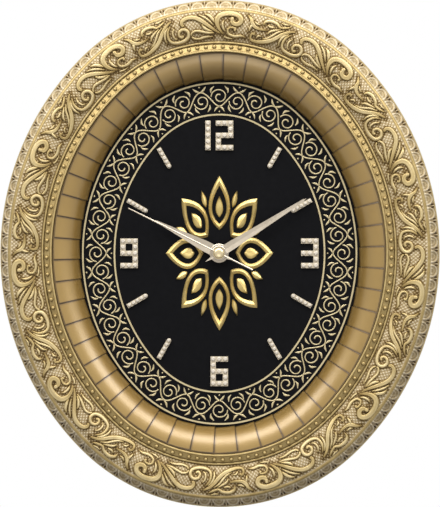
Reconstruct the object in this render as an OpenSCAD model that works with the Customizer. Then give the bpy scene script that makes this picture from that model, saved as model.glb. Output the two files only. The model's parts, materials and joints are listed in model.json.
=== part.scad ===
// Oval wall clock: moulded frame, panelled cove, dial, stone markers, hands and quartz movement.
// Modelled with x right, y up and z towards the viewer; hung() then turns it upright on its hanger.

/* [Frame] */
// Overall width of the oval frame
frame_w = 352; // [330:1:372]
// Overall height of the oval frame
frame_h = 406; // [390:1:440]
// Height of the plain side wall above the wall
side_h = 20; // [16:0.5:22]
// How far the side wall draws in towards the wall
side_draft = 2.5; // [0.5:0.1:4]
// Width of the flat rear rim
rim_w = 4.5; // [3:0.1:6]
// Smooth edge outside the scalloped slope
edge_w = 1.2; // [0.6:0.1:2]
// Width of the scalloped slope
scallop_w = 6.8; // [5:0.1:8]
// Rise of the scalloped slope
scallop_rise = 12; // [8:0.5:14]
// Width of the thin round ridge inside the scallops
ridge_w = 1.8; // [1.2:0.1:2.4]
// Width of the convex ornament field
field_w = 24.8; // [23:0.1:26]
// Bulge of the ornament field between its edges
crest_h = 4.4; // [3.4:0.1:5]
// How far the field drops from the ridge to the beaded band
field_drop = 3.1; // [2:0.1:3.6]
// Width of the beaded band beside the cove
bead_band_w = 8.8; // [8.4:0.1:10]
// Width of each round fillet on the beaded band
fillet_w = 1.9; // [1.4:0.1:2.2]
// Number of beads round the band
beads = 140; // [100:2:150]
// Diameter of a bead
bead_d = 3.8; // [3:0.1:4.2]
// Number of scallops round the slope
scallops = 101; // [80:1:104]
// Width of a scallop where it leaves the slope
scallop_d = 10; // [7:0.1:11]
// Bulge of a scallop above the slope
scallop_bulge = 0.9; // [0.4:0.1:1.2]

/* [Cove] */
// Width of the panelled cove
cove_w = 19.1; // [16:0.1:22]
// Depth of the cove from its front edge to the dial
cove_depth = 17; // [15:0.5:20]
// Bulge of the cove's section
cove_bulge = 3.8; // [2:0.1:4.4]
// Wall of the cove ring
cove_t = 2.4; // [1.8:0.1:3]
// Number of panels round the cove
panels = 50; // [36:2:60]
// Step between one panel and the next
panel_step = 0.8; // [0.3:0.1:1.1]
// Gap between the cove and the frame's lip
cove_gap = 1.5; // [0.8:0.1:2]
// How far the cove's front edge stands above the flange
lip_drop = 3.4; // [3:0.1:3.8]
// Gap between the flange and the hanger's bosses
flange_gap = 0.6; // [0.4:0.1:1.6]

/* [Dial] */
// Thickness of the dial plate
dial_t = 3; // [2:0.1:4]
// How far the dial reaches under the cove
dial_lap = 5.5; // [4:0.1:8]
// Width of each gold line on the dial
line_w = 1.3; // [0.8:0.1:2]
// Thickness of each gold line
line_t = 0.4; // [0.2:0.1:0.8]
// Inset of the outer gold line from the cove
outer_line_inset = 1.5; // [1:0.1:3]
// Inset of the inner gold line from the cove
inner_line_inset = 27; // [24:0.5:30]

/* [Centre ornament] */
// Half width of the centre ornament
ornament_w = 43; // [36:0.5:48]
// Half height of the centre ornament
ornament_h = 62; // [50:0.5:66]
// Inner radius left free for the hands' nut
ornament_hole = 13; // [11:0.5:16]
// Number of petals
petals = 8; // [6:2:10]
// Greatest width of a petal's rim
petal_rim = 3.4; // [2:0.1:4.2]
// Thickness of the ornament
ornament_t = 1.6; // [1:0.1:2]

/* [Markers] */
// Distance between the stones of a figure
cell = 4.9; // [4.5:0.1:5.2]
// Width of a figure's strokes
stroke_w = 4.2; // [4:0.1:4.4]
// Diameter of a figure's stones
stone_d = 3.9; // [3:0.1:4]
// Height of a stone
stone_t = 1.5; // [0.8:0.1:2]
// Height of the metal tray under the stones
tray_t = 1.4; // [0.8:0.1:1.8]
// Gap between the figures of the twelve
digit_gap = 4.2; // [2:0.1:5]
// Gap between the figures and the inner gold line
marker_gap = 4.2; // [3:0.1:6]
// Stones on one hour baton
baton_stones = 5; // [3:1:6]
// Distance between the stones of a baton
baton_pitch = 3.7; // [3.5:0.1:3.8]
// Width of a baton
baton_w = 3.6; // [3.4:0.1:4.2]
// Diameter of a baton's stones
baton_stone_d = 3.3; // [2.6:0.1:3.4]
// Gap between the batons and the inner gold line
baton_gap = 2.6; // [2:0.1:6]

/* [Hands] */
// Length of the hour hand
hour_l = 58; // [50:1:62]
// Width of the hour hand
hour_hand_w = 8.8; // [6:0.1:10]
// Length of the minute hand
minute_l = 82; // [72:1:84]
// Width of the minute hand
minute_hand_w = 7.2; // [5:0.1:8]
// Length of the second hand
second_l = 81; // [70:1:84]
// Width of the second hand
second_hand_w = 1.2; // [0.8:0.1:2]
// Length of the second hand's tail
second_tail = 30; // [20:1:36]
// Length of the pointed tails of the other two hands
hand_tail = 12.8; // [11:0.1:16]
// Thickness of the hands
hand_t = 0.8; // [0.5:0.1:1]
// Diameter of the disc round the hands' centre
hub_d = 15.2; // [13:0.1:18]
// Diameter of the centre cap
cap_d = 9.2; // [6:0.1:10]
// Height of the centre cap
cap_h = 2.2; // [1.4:0.1:3]
// Clock angle of the hour hand at rest
hour_angle = 297; // [0:1:359]
// Clock angle of the minute hand at rest
minute_angle = 58; // [0:1:359]
// Clock angle of the second hand at rest
second_angle = 296.4; // [0:0.1:359]

/* [Movement case] */
// Depth of the movement case
case_depth = 16; // [16:0.5:18]
// Wall of the movement case
case_wall = 1.2; // [1:0.1:1.4]
// Corner radius of the movement case
case_r = 3; // [2:0.5:4]
// Distance from the top of the case to the hands' axis
axis_drop = 18; // [18:0.5:19]
// Space between the case and the wall
wall_gap = 4.2; // [4.2:0.1:6]
// Thickness of the rubber washer behind the dial
rubber_t = 0.8; // [0.5:0.1:1.5]
// Diameter of the threaded bushing
bushing_d = 8; // [7.6:0.1:9]
// Thickness of the brass washer
washer_t = 0.6; // [0.4:0.1:1]
// Width across the flats of the hex nut
nut_flats = 11; // [10.5:0.5:12]
// Height of the hex nut
nut_t = 2.2; // [1.6:0.1:2.6]

/* [Gear train] */
// Addendum as a share of the module
addendum = 0.8; // [0.7:0.05:0.85]
// Dedendum as a share of the module
dedendum = 1.05; // [1:0.05:1.1]
// Pressure angle of the teeth
pressure_angle = 27; // [25:1:28]
// Share of the pitch taken up by a tooth
tooth_share = 0.4; // [0.34:0.01:0.42]
// Radius of the wheels' arbors
arbor_r = 0.6; // [0.5:0.05:0.65]
// Radius of the pivots at the arbors' ends
pivot_r = 0.4; // [0.3:0.05:0.45]
// Radius of the second hand's arbor
second_r = 0.5; // [0.4:0.05:0.6]
// Radius of the minute tube
minute_r = 1.7; // [1.5:0.05:1.75]
// Radius of the hour tube
hour_r = 2.6; // [2.5:0.05:2.7]
// Running clearance of the shafts
running_gap = 0.06; // [0.02:0.01:0.09]

/* [Battery] */
// Diameter of the AA cell
cell_d = 14.5; // [14:0.1:14.5]
// Length of the AA cell's body
cell_l = 49.5; // [48.5:0.1:51]
// Length of the AA cell's button
button_l = 1; // [0.8:0.1:1.2]
// Length of the negative contact's spring with the cell in place
spring_l = 2.3; // [1.8:0.1:3]
// Thickness of the contact strips
contact_t = 0.4; // [0.3:0.05:0.5]

/* [Fasteners] */
// Shank diameter of the screws
screw_d = 2.4; // [2:0.1:3]
// Head diameter of the screws
head_d = 5.6; // [5:0.1:6.4]
// Head height of the screws
head_t = 1.8; // [1.4:0.1:2.4]
// Clearance of the screws in their holes
screw_gap = 0.1; // [0.05:0.05:0.3]
// Diameter of the posts that carry the dial clips
post_d = 6.4; // [6:0.1:7]
// Width of a dial clip
clip_w = 9; // [8:0.5:12]
// Thickness of a dial clip
clip_t = 1; // [0.6:0.1:1.5]
// Depth of the screws in the plastic
screw_bite = 5; // [3:0.5:5.5]

/* [Hanger] */
// Length of the hanger plate
hanger_l = 64; // [60:1:68]
// Height of the hanger plate
hanger_h = 18; // [17:0.5:19]
// Thickness of the hanger plate
hanger_t = 1.2; // [1:0.1:1.4]
// Distance from the frame's top to the middle of the hanger plate
hanger_drop = 22; // [20.5:0.5:22]
// Diameter of the keyhole's entry
keyhole_d = 9; // [8:0.1:9]
// Width of the keyhole's slot
slot_w = 4.2; // [3.6:0.1:4.6]
// Spacing of the hanger's screws
hanger_pitch = 44; // [40:1:48]
// Length of the hanger's screws
hanger_screw_l = 10; // [8:0.5:14]

/* [Hidden] */

$fn = 64;
tiny = 0.01;

// Oval of four tangent arcs: right, top, left, bottom, each a quarter turn about its own centre
arc_shift = (frame_h - frame_w) / 2 / (2 - sqrt(2));
arc_centres = [[-arc_shift, 0], [0, arc_shift], [arc_shift, 0], [0, -arc_shift]];
side_r = frame_w / 2 + arc_shift;
end_r = frame_h / 2 - arc_shift;
arc_radii = [side_r, end_r, side_r, end_r];
arc_starts = [-45, 45, 135, 225];
arc_turn = 90;

// Heights above the wall
case_back_z = wall_gap;
case_front_z = case_back_z + case_depth;
dial_back_z = case_front_z + rubber_t;
dial_z = dial_back_z + dial_t;
cove_z = dial_z + cove_depth;
lip_back_z = cove_z - lip_drop;
lip_z = cove_z + 1;
ridge_z = lip_z + 1.4;
field_foot_z = ridge_z - field_drop;
scallop_top_z = ridge_z - 1;
scallop_foot_z = scallop_top_z - scallop_rise;
flange_back_z = lip_back_z - cove_t;

// Material left beside the screw heads, the posts and the hanger's screws
head_margin = 0.6;
post_margin = 1;
boss_wall = 0.8;

// How far a post runs into the wall that carries it
post_root = 0.5;

// Hanger places
hanger_y = frame_h / 2 - hanger_drop;
keyhole_drop = 2.5;
slot_l = 7;
keyhole_y = hanger_y - keyhole_drop;
slot_y = keyhole_y + slot_l;
boss_r = post_d / 2 + boss_wall;
boss_at = end_r - norm([hanger_pitch / 2, hanger_y - arc_shift]);

// Places across the moulding, measured inwards from the widest outline
ridge_at = edge_w + scallop_w;
field_at = ridge_at + ridge_w;
band_at = field_at + field_w;
lip_at = band_at + bead_band_w;
cove_at = lip_at + cove_gap;
dial_at = cove_at + cove_w;
dial_edge_at = dial_at - dial_lap;
flange_at = boss_at + boss_r + flange_gap;
frame_screw_at = flange_at + head_d / 2 + head_margin;
post_at = lip_at - post_d / 2 - post_margin;
bead_at = band_at + bead_band_w / 2;
scallop_at = edge_w + scallop_w / 2;

// Movement places, with a case that takes the cell, its contacts and the spring
case_side = cell_l + button_l + spring_l + 2 * (contact_t + case_wall);
axis_to_bottom = case_side - axis_drop;
battery_gap = 0.2;
bay_wall_y = -axis_to_bottom + 2 * (case_wall + battery_gap) + cell_d;
battery_y = -axis_to_bottom + case_wall + cell_d / 2 + battery_gap;
battery_z = case_back_z + cell_d / 2 + battery_gap;
inner_half = case_side / 2 - case_wall;
train_top_y = axis_drop - case_wall;
cover_front_z = case_back_z + case_wall;
plate_back_z = case_front_z - case_wall;

// Modules of the gear pairs and the distances that they set
rotor_mod = 0.32;
seconds_mod = 0.46;
third_mod = 0.34;
centre_mod = 0.36;
minutes_mod = 0.525;
hours_mod = 0.504;
rotor_teeth = 8;
intermediate_teeth = 40;
intermediate_pinion_teeth = 8;
second_teeth = 48;
second_pinion_teeth = 8;
third_teeth = 64;
third_pinion_teeth = 8;
centre_teeth = 60;
cannon_teeth = 12;
motion_teeth = 36;
motion_pinion_teeth = 10;
hour_teeth = 40;
rotor_dist = rotor_mod * (rotor_teeth + intermediate_teeth) / 2;
intermediate_dist = seconds_mod * (intermediate_pinion_teeth + second_teeth) / 2;
third_dist = third_mod * (second_pinion_teeth + third_teeth) / 2;
motion_dist = minutes_mod * (cannon_teeth + motion_teeth) / 2;
rotor_dir = 20;
intermediate_dir = 270;
third_dir = 165;
motion_dir = 30;
intermediate_at = polar(intermediate_dist, intermediate_dir);
rotor_at = intermediate_at + polar(rotor_dist, rotor_dir);
third_at = polar(third_dist, third_dir);
motion_at = polar(motion_dist, motion_dir);

// Levels of the gear train above the cover's inner face
train_z = cover_front_z;
intermediate_z = train_z + 2.8;
second_wheel_z = train_z + 5;
third_wheel_z = train_z + 7;
centre_gear_z = train_z + 9;
motion_wheel_z = train_z + 11.1;
hour_wheel_z = train_z + 12.5;
wheel_t = 0.9;
pinion_over = 0.2;
bearing_h = 1;
magnet_z = train_z + 6.5;
magnet_r = 2.6;
magnet_h = 2;
stator_z = train_z + 7.1;
stator_t = 0.8;
coil_r = 3.4;
coil_gap = 0.9;
coil_x = inner_half - coil_r - coil_gap;
core_w = 4;
core_gap = 3.75;
core_end = 3.5;
coil_y = (train_top_y + bay_wall_y) / 2;
core_l = train_top_y - bay_wall_y - 2 * core_gap;
coil_l = core_l - 2 * core_end;
setting_r = 1;
board_z = train_z + 1;
board_t = 0.8;

// Levels of the hands
bushing_over = 1;
hour_hand_gap = 0.9;
hand_gap = 1.8;
bushing_z = dial_z + washer_t + nut_t + bushing_over;
hour_hand_z = bushing_z + hour_hand_gap;
minute_hand_z = hour_hand_z + hand_t + hand_gap;
second_hand_z = minute_hand_z + hand_t + hand_gap;
cap_z = second_hand_z + hand_t;

// Widths of the hands' tips and sizes of the smaller hubs
hour_tip = 1.4;
minute_tip = 2;
minute_hub_d = hub_d * 0.8;
second_hub_wall = 0.4;
second_hub_h = 0.8;

hour_marks = [1, 2, 4, 5, 7, 8, 10, 11];
fastener_turns = [22.5, 67.5];

digit_one = ["1", "1", "1", "1", "1"];
digit_two = ["111", "001", "111", "100", "111"];
digit_three = ["111", "001", "111", "001", "111"];
digit_six = ["111", "100", "111", "101", "111"];
digit_nine = ["111", "101", "111", "001", "111"];
digit_rows = 5;

function polar(r, a) = r * [cos(a), sin(a)];

// Point on the oval set in by w, on arc k, at turn degrees from that arc's start
function arc_point(k, turn, w) = arc_centres[k] + polar(arc_radii[k] - w, arc_starts[k] + turn);

// Arc and turn at a clockwise run s from twelve o'clock, measured on the oval set in by w
function end_run(w) = (end_r - w) * PI / 2;
function side_run(w) = (side_r - w) * PI / 2;
function oval_run(w) = 2 * (end_run(w) + side_run(w));
function station(s, w) =
    let (e = end_run(w), d = side_run(w))
    s < e / 2 ? [1, arc_turn * (0.5 - s / e)] :
    s < e / 2 + d ? [0, arc_turn * (1 - (s - e / 2) / d)] :
    s < 1.5 * e + d ? [3, arc_turn * (1 - (s - e / 2 - d) / e)] :
    s < 1.5 * e + 2 * d ? [2, arc_turn * (1 - (s - 1.5 * e - d) / d)] :
    [1, arc_turn * (1 - (s - 1.5 * e - 2 * d) / e)];

// Distance from the dial's centre to the oval set in by w, along the direction a
function oval_reach(a, w) =
    let (k = floor(((a + 45) % 360 + 360) % 360 / 90), c = arc_centres[k], r = arc_radii[k] - w)
    let (along = c * polar(1, a))
    along + sqrt(along * along - c * c + r * r);

// Arc of a circle through two points of a section, bulging to the left of the way between them
function bulge_arc(from, to, bulge, steps) =
    let (chord = to - from, half = norm(chord) / 2, r = (half * half + bulge * bulge) / (2 * bulge))
    let (left = [-chord.y, chord.x] / norm(chord), mid = (from + to) / 2, centre = mid - left * (r - bulge))
    let (a0 = atan2(from.y - centre.y, from.x - centre.x), sweep = 2 * asin(half / r))
    [for (i = [0:steps]) centre + polar(r, a0 - sweep * i / steps)];

function half_round(w, z, width, steps) =
    [for (i = [0:steps]) [w + width / 2, z] + polar(width / 2, 180 - 180 * i / steps)];

function mirror_w(points) = [for (p = points) [-p.x, p.y]];

// Section of the frame, from the rear rim round the front and back along the inside
frame_section = concat(
    [[side_draft, 0], [0, side_h], [0, scallop_foot_z - 3], [edge_w, scallop_foot_z]],
    [[ridge_at, scallop_top_z]],
    half_round(ridge_at, ridge_z, ridge_w, 8),
    bulge_arc([field_at + tiny, ridge_z], [band_at - tiny, field_foot_z], crest_h, 10),
    half_round(band_at, lip_z, fillet_w, 8),
    half_round(lip_at - fillet_w, lip_z, fillet_w, 8),
    [[lip_at, lip_back_z], [field_at + 1.6, lip_back_z]],
    [[edge_w + rim_w, scallop_foot_z - 2], [side_draft + rim_w, 0]]
);

// Section of the cove ring with its front lowered by drop, in order from the front edge
cove_steps = 6;
function cove_way(i) = i == cove_steps ? [1, 0] : [0.6, 0.8];
function cove_section(drop) =
    let (front = bulge_arc([cove_at, cove_z], [dial_at, dial_z], cove_bulge, cove_steps))
    let (back_foot = [dial_at - cove_t * 1.2, dial_z])
    let (back = bulge_arc([cove_at - cove_t, lip_back_z], back_foot, cove_bulge, cove_steps))
    concat(
        [for (i = [0:cove_steps]) front[i] - drop * cove_way(i)],
        [for (i = [cove_steps:-1:2]) back[i] - panel_step * cove_way(i)],
        [[post_at + post_d / 2, flange_back_z], [flange_at, flange_back_z], [flange_at, lip_back_z]],
        [[cove_at, lip_back_z]]
    );

// Involute gear outline with a tooth at the angle phase
function involute(a) = tan(a) * 180 / PI - a;
function tooth_half(r, teeth, mod) =
    let (pitch_r = mod * teeth / 2, base_r = pitch_r * cos(pressure_angle))
    180 / teeth * tooth_share + involute(pressure_angle) - involute(acos(min(1, base_r / max(r, base_r))));
function gear_outline(teeth, mod, phase) =
    let (pitch_r = mod * teeth / 2, root_r = pitch_r - dedendum * mod, tip_r = pitch_r + addendum * mod)
    let (radii = [root_r, max(root_r + 0.05, pitch_r * cos(pressure_angle)), pitch_r, tip_r])
    [for (i = [0:teeth - 1], side = [-1, 1], j = [0:3])
        let (r = radii[side < 0 ? j : 3 - j])
        polar(r, phase + 360 * i / teeth + side * tooth_half(r, teeth, mod))];

// Phase that puts a gap towards the partner that lies in the direction a
function gap_phase(teeth, a) = a + 180 / teeth;

// Cubic curve between two points with two handles
function bezier(p0, p1, p2, p3, steps) =
    [for (i = [0:steps]) let (t = i / steps, u = 1 - t)
        u * u * u * p0 + 3 * u * u * t * p1 + 3 * u * t * t * p2 + t * t * t * p3];

// Pointed petal along y from y0 to y1, as a closed outline
petal_steps = 8;
function petal_outline(y0, y1, half) =
    let (l = y1 - y0, low = [half * 1.5, y0 + l * 0.3], high = [half * 0.7, y0 + l * 0.75])
    let (side = bezier([0, y0], low, high, [0, y1], petal_steps))
    concat(side, [for (i = [petal_steps - 1:-1:1]) [-side[i].x, side[i].y]]);

module hung() {
    translate([0, 0, -keyhole_y]) rotate([90, 0, 0]) children();
}

// Sweep of a section round the oval; the section's x is minus the distance in from the outline
module oval_sweep() {
    for (k = [0:3])
        translate(arc_centres[k]) rotate(arc_starts[k])
            rotate_extrude(angle = arc_turn) translate([arc_radii[k], 0]) children();
}

module oval_plate(w, z, t) {
    for (k = [0:3])
        translate([arc_centres[k].x, arc_centres[k].y, z]) rotate(arc_starts[k])
            rotate_extrude(angle = arc_turn) square([arc_radii[k] - w, t]);
}

module disc(r, z, t) {
    translate([0, 0, z]) cylinder(r = r, h = t);
}

module tube(r, bore, z, t) {
    translate([0, 0, z]) difference() {
        cylinder(r = r, h = t);
        translate([0, 0, -1]) cylinder(r = bore, h = t + 2);
    }
}

module box(x0, x1, y0, y1, z0, z1) {
    translate([x0, y0, z0]) cube([x1 - x0, y1 - y0, z1 - z0]);
}

module gear(teeth, mod, phase, z, t) {
    translate([0, 0, z]) linear_extrude(t) polygon(gear_outline(teeth, mod, phase));
}

// Pinion with a gap towards its partner in the direction a, a little thicker than the wheel at z
module pinion(teeth, mod, a, z) {
    gear(teeth, mod, gap_phase(teeth, a), z - pinion_over, wheel_t + 2 * pinion_over);
}

// Places round the oval for the frame screws and the dial clips
module fasteners(w) {
    for (k = [0:3], turn = fastener_turns)
        translate(arc_point(k, turn, w)) rotate(arc_starts[k] + turn) children();
}

module hanger_holes() {
    for (side = [-1, 1])
        translate([side * hanger_pitch / 2, hanger_y, 0]) children();
}

// Even places round the oval set in by w, with x outwards
module around(count, w) {
    run = oval_run(w) / count;
    for (i = [0:count - 1]) {
        place = station((i + 0.5) * run, w);
        translate(arc_point(place[0], place[1], w)) rotate(arc_starts[place[0]] + place[1]) children();
    }
}

// Low dome on the scalloped slope, with a root inside the wall
module scallop() {
    root = 1.6;
    dome_r = (scallop_d * scallop_d / 4 + scallop_bulge * scallop_bulge) / (2 * scallop_bulge);
    translate([0, 0, (scallop_foot_z + scallop_top_z) / 2]) rotate([0, atan2(scallop_rise, scallop_w), 0])
        intersection() {
            translate([0, 0, scallop_bulge - dome_r]) sphere(dome_r);
            box(-scallop_d, scallop_d, -scallop_d, scallop_d, -root, scallop_bulge + 1);
        }
}

module outer_frame() {
    color([0.74, 0.6, 0.34]) hung() difference() {
        union() {
            oval_sweep() polygon(mirror_w(frame_section));
            around(scallops, scallop_at) scallop();
            around(beads, bead_at) translate([0, 0, lip_z]) sphere(d = bead_d);
            hanger_holes() disc(boss_r, hanger_t, lip_back_z - hanger_t + post_root);
        }
        fasteners(frame_screw_at) disc(screw_d / 2 + screw_gap, lip_back_z - 1, screw_bite + 1.5);
        hanger_holes() disc(screw_d / 2 + screw_gap, hanger_t - 1, hanger_screw_l + 2);
    }
}

// Shares of a panel's run: from twelve o'clock to the first seam, and taken up by a seam's step
first_seam = 0.22;
seam_share = 0.04;

module cove_shell() {
    run = oval_run(dial_at) / panels;
    stations = [for (i = [0:panels - 1], last = [0, 1])
        [station((i + first_seam + last * (1 - seam_share)) * run, dial_at), last * panel_step]];
    count = len(cove_section(0));
    rings = len(stations);
    points = [for (s = stations, p = cove_section(s[1]))
        let (xy = arc_point(s[0][0], s[0][1], p.x)) [xy.x, xy.y, p.y]];
    faces = [for (i = [0:rings - 1], j = [0:count - 1])
        let (a = i * count + j, b = i * count + (j + 1) % count)
        let (c = (i + 1) % rings * count + (j + 1) % count, d = (i + 1) % rings * count + j)
        each [[a, d, c], [a, c, b]]];
    polyhedron(points, faces);
}

module cove_ring() {
    color([0.6, 0.47, 0.3]) hung() difference() {
        union() {
            cove_shell();
            fasteners(post_at) disc(post_d / 2, dial_back_z, flange_back_z - dial_back_z + post_root);
        }
        fasteners(frame_screw_at) disc(screw_d / 2 + screw_gap, flange_back_z - 1, cove_t + 2);
        fasteners(post_at) disc(screw_d / 2 + screw_gap, dial_back_z - 1, screw_bite + 1.5);
    }
}

// Pan-head screw whose head seats at z, through a plate of thickness t
module pan_screw(z, t) {
    disc(head_d / 2, z - head_t, head_t);
    disc(screw_d / 2, z - tiny, t + screw_bite);
}

module frame_screws() {
    color([0.7, 0.7, 0.68]) hung() fasteners(frame_screw_at) pan_screw(flange_back_z, cove_t);
}

module dial_plate() {
    color([0.12, 0.12, 0.13]) hung() difference() {
        oval_plate(dial_edge_at, dial_back_z, dial_t);
        disc(bushing_d / 2 + screw_gap, dial_back_z - 1, dial_t + 2);
    }
}

module dial_line(inset) {
    oval_sweep() translate([-(dial_at + inset + line_w), dial_z]) square([line_w, line_t]);
}

module outer_dial_line() {
    color([0.82, 0.74, 0.55]) hung() dial_line(outer_line_inset);
}

module inner_dial_line() {
    color([0.82, 0.74, 0.55]) hung() dial_line(inner_line_inset);
}

module stretched(points, w, h) {
    polygon([for (p = points) [p.x * w, p.y * h]]);
}

function turned(points, a) =
    [for (p = points) [p.x * cos(a) + p.y * sin(a), p.y * cos(a) - p.x * sin(a)]];

// Petals drawn on a circle of radius 100, then stretched to the ornament's width and height
module centre_ornament() {
    sx = ornament_w / 100;
    sy = ornament_h / 100;
    root = ornament_hole / sx;
    half = 100 * sin(180 / petals) * 0.62;
    rim = petal_rim / sx;
    petal = petal_outline(root, 100, half);
    opening = petal_outline(root + rim, 100 - rim * 1.6, half - rim);
    inner_leaf = petal_outline(root + rim * 2, 74, half * 0.34);
    outer_leaf = petal_outline(64, 88, half * 0.22);
    turn = 360 / petals;
    color([0.78, 0.66, 0.4]) hung() translate([0, 0, dial_z]) linear_extrude(ornament_t)
        for (i = [0:petals - 1]) {
            difference() {
                stretched(turned(petal, i * turn), sx, sy);
                stretched(turned(opening, i * turn), sx, sy);
            }
            stretched(turned(inner_leaf, i * turn), sx, sy);
            stretched(turned(outer_leaf, (i + 0.5) * turn), sx, sy);
        }
}

// Middle of every filled cell of a figure
function digit_cells(rows) =
    let (columns = len(rows[0]))
    [for (r = [0:digit_rows - 1], c = [0:columns - 1])
        if (rows[r][c] == "1") [(c - (columns - 1) / 2) * cell, ((digit_rows - 1) / 2 - r) * cell]];

// Places of the figures, set in from the inner gold line
marker_at = dial_at + inner_line_inset + line_w + marker_gap;
twelve_y = oval_reach(90, marker_at) - ((digit_rows - 1) * cell + stroke_w) / 2;
three_x = oval_reach(0, marker_at) - cell - stroke_w / 2;
twelve_w = 2 * cell + 2 * stroke_w + digit_gap;
one_x = -twelve_w / 2 + stroke_w / 2;
two_x = twelve_w / 2 - cell - stroke_w / 2;

function moved(points, offset) = [for (p = points) p + offset];

cells_12 = concat(
    moved(digit_cells(digit_one), [one_x, twelve_y]),
    moved(digit_cells(digit_two), [two_x, twelve_y])
);
cells_3 = moved(digit_cells(digit_three), [three_x, 0]);
cells_6 = moved(digit_cells(digit_six), [0, -twelve_y]);
cells_9 = moved(digit_cells(digit_nine), [-three_x, 0]);

function baton_dir(hour) = 90 - 30 * hour;
baton_at = marker_at - marker_gap + baton_gap;
baton_l = baton_stones * baton_pitch;
function baton_end(hour) = oval_reach(baton_dir(hour), baton_at);
function baton_cells(hour) =
    [for (i = [0:baton_stones - 1]) polar(baton_end(hour) - (i + 0.5) * baton_pitch, baton_dir(hour))];

// Strokes between the cells that lie side by side
module tray(cells) {
    color([0.85, 0.8, 0.7]) hung() translate([0, 0, dial_z]) linear_extrude(tray_t)
        for (p = cells, q = cells)
            if (norm(q - p) < cell + tiny)
                translate((p + q) / 2)
                    square([abs(q.x - p.x) + stroke_w, abs(q.y - p.y) + stroke_w], center = true);
}

module numeral_12() {
    tray(cells_12);
}

module numeral_3() {
    tray(cells_3);
}

module numeral_6() {
    tray(cells_6);
}

module numeral_9() {
    tray(cells_9);
}

module hour_batons() {
    color([0.85, 0.8, 0.7]) hung() for (hour = hour_marks)
        rotate(baton_dir(hour)) translate([baton_end(hour) - baton_l + baton_w / 2, 0, dial_z])
            linear_extrude(tray_t) {
                circle(d = baton_w);
                translate([0, -baton_w / 2]) square([baton_l - baton_w / 2, baton_w]);
            }
}

// Flat top of a stone as a share of its diameter
table_share = 0.55;
stone_facets = 8;

module stones(cells, diameter) {
    for (p = cells)
        translate([p.x, p.y, dial_z + tray_t])
            cylinder(d1 = diameter, d2 = diameter * table_share, h = stone_t, $fn = stone_facets);
}

module rhinestones() {
    color([0.92, 0.9, 0.85]) hung() {
        stones(concat(cells_12, cells_3, cells_6, cells_9), stone_d);
        stones([for (hour = hour_marks) each baton_cells(hour)], baton_stone_d);
    }
}

module dial_clips() {
    reach = dial_edge_at + dial_lap - post_at;
    color([0.75, 0.75, 0.73]) hung() fasteners(post_at) difference() {
        box(-reach, post_d / 2 + 1, -clip_w / 2, clip_w / 2, dial_back_z - clip_t, dial_back_z);
        disc(screw_d / 2 + screw_gap, dial_back_z - clip_t - 1, clip_t + 2);
    }
}

module clip_screws() {
    color([0.7, 0.7, 0.68]) hung() fasteners(post_at) pan_screw(dial_back_z - clip_t, clip_t);
}

module hanger_plate() {
    color([0.78, 0.74, 0.6]) hung() difference() {
        box(-hanger_l / 2, hanger_l / 2, hanger_y - hanger_h / 2, hanger_y + hanger_h / 2, 0, hanger_t);
        translate([0, keyhole_y, -1]) cylinder(d = keyhole_d, h = hanger_t + 2);
        translate([0, slot_y, -1]) cylinder(d = slot_w, h = hanger_t + 2);
        box(-slot_w / 2, slot_w / 2, keyhole_y, slot_y, -1, hanger_t + 1);
        hanger_holes() countersunk(screw_gap);
    }
}

// Flush head that fills the plate's thickness, with its shank
module countersunk(gap) {
    cylinder(r1 = head_d / 2 + gap, r2 = screw_d / 2 + gap, h = hanger_t);
    disc(screw_d / 2 + gap, hanger_t - tiny, hanger_screw_l);
}

module hanger_screws() {
    color([0.7, 0.7, 0.68]) hung() hanger_holes() countersunk(0);
}

// Lance-shaped hand along y: widest near the hub, pointed at both ends
module lance(length, width, tip) {
    polygon([
        [0, -hand_tail], [width / 2, hand_tail * 0.5], [width / 2, hand_tail], [tip / 2, length - tip],
        [0, length], [-tip / 2, length - tip], [-width / 2, hand_tail], [-width / 2, hand_tail * 0.5]
    ]);
}

module hour_hand() {
    color([0.86, 0.82, 0.76]) hung() rotate(-hour_angle) translate([0, 0, hour_hand_z])
        linear_extrude(hand_t) difference() {
            union() {
                lance(hour_l, hour_hand_w, hour_tip);
                circle(d = hub_d);
            }
            circle(hour_r + running_gap);
        }
}

module minute_hand() {
    color([0.86, 0.82, 0.76]) hung() rotate(-minute_angle) translate([0, 0, minute_hand_z])
        linear_extrude(hand_t) difference() {
            union() {
                lance(minute_l, minute_hand_w, minute_tip);
                circle(d = minute_hub_d);
            }
            circle(minute_r + running_gap);
        }
}

module second_hand() {
    hub_r = minute_r + second_hub_wall;
    color([0.86, 0.82, 0.76]) hung() rotate(-second_angle) difference() {
        union() {
            box(-second_hand_w / 2, second_hand_w / 2, -second_tail, second_l, second_hand_z,
                second_hand_z + hand_t);
            disc(hub_r, second_hand_z - second_hub_h, hand_t + second_hub_h);
        }
        disc(second_r + running_gap, second_hand_z - 2, hand_t + 3);
    }
}

module centre_cap() {
    dome_r = (cap_d * cap_d / 4 + cap_h * cap_h) / (2 * cap_h);
    color([0.9, 0.84, 0.7]) hung() intersection() {
        translate([0, 0, cap_z + cap_h - dome_r]) sphere(dome_r);
        disc(cap_d / 2 + 1, cap_z, cap_h + 1);
    }
}

module rounded_slab(inset, z0, z1) {
    x = case_side / 2 - inset;
    r = max(case_r - inset, 0.5);
    y0 = -axis_to_bottom + inset;
    y1 = axis_drop - inset;
    union() {
        box(-x + r, x - r, y0, y1, z0, z1);
        box(-x, x, y0 + r, y1 - r, z0, z1);
        for (cx = [-x + r, x - r], cy = [y0 + r, y1 - r])
            translate([cx, cy, z0]) cylinder(r = r, h = z1 - z0);
    }
}

// Post that carries the front pivot of a wheel
module front_bearing(at, z) {
    translate(at) tube(pivot_r * 2.4, pivot_r + running_gap, z, plate_back_z - z + tiny);
}

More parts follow.
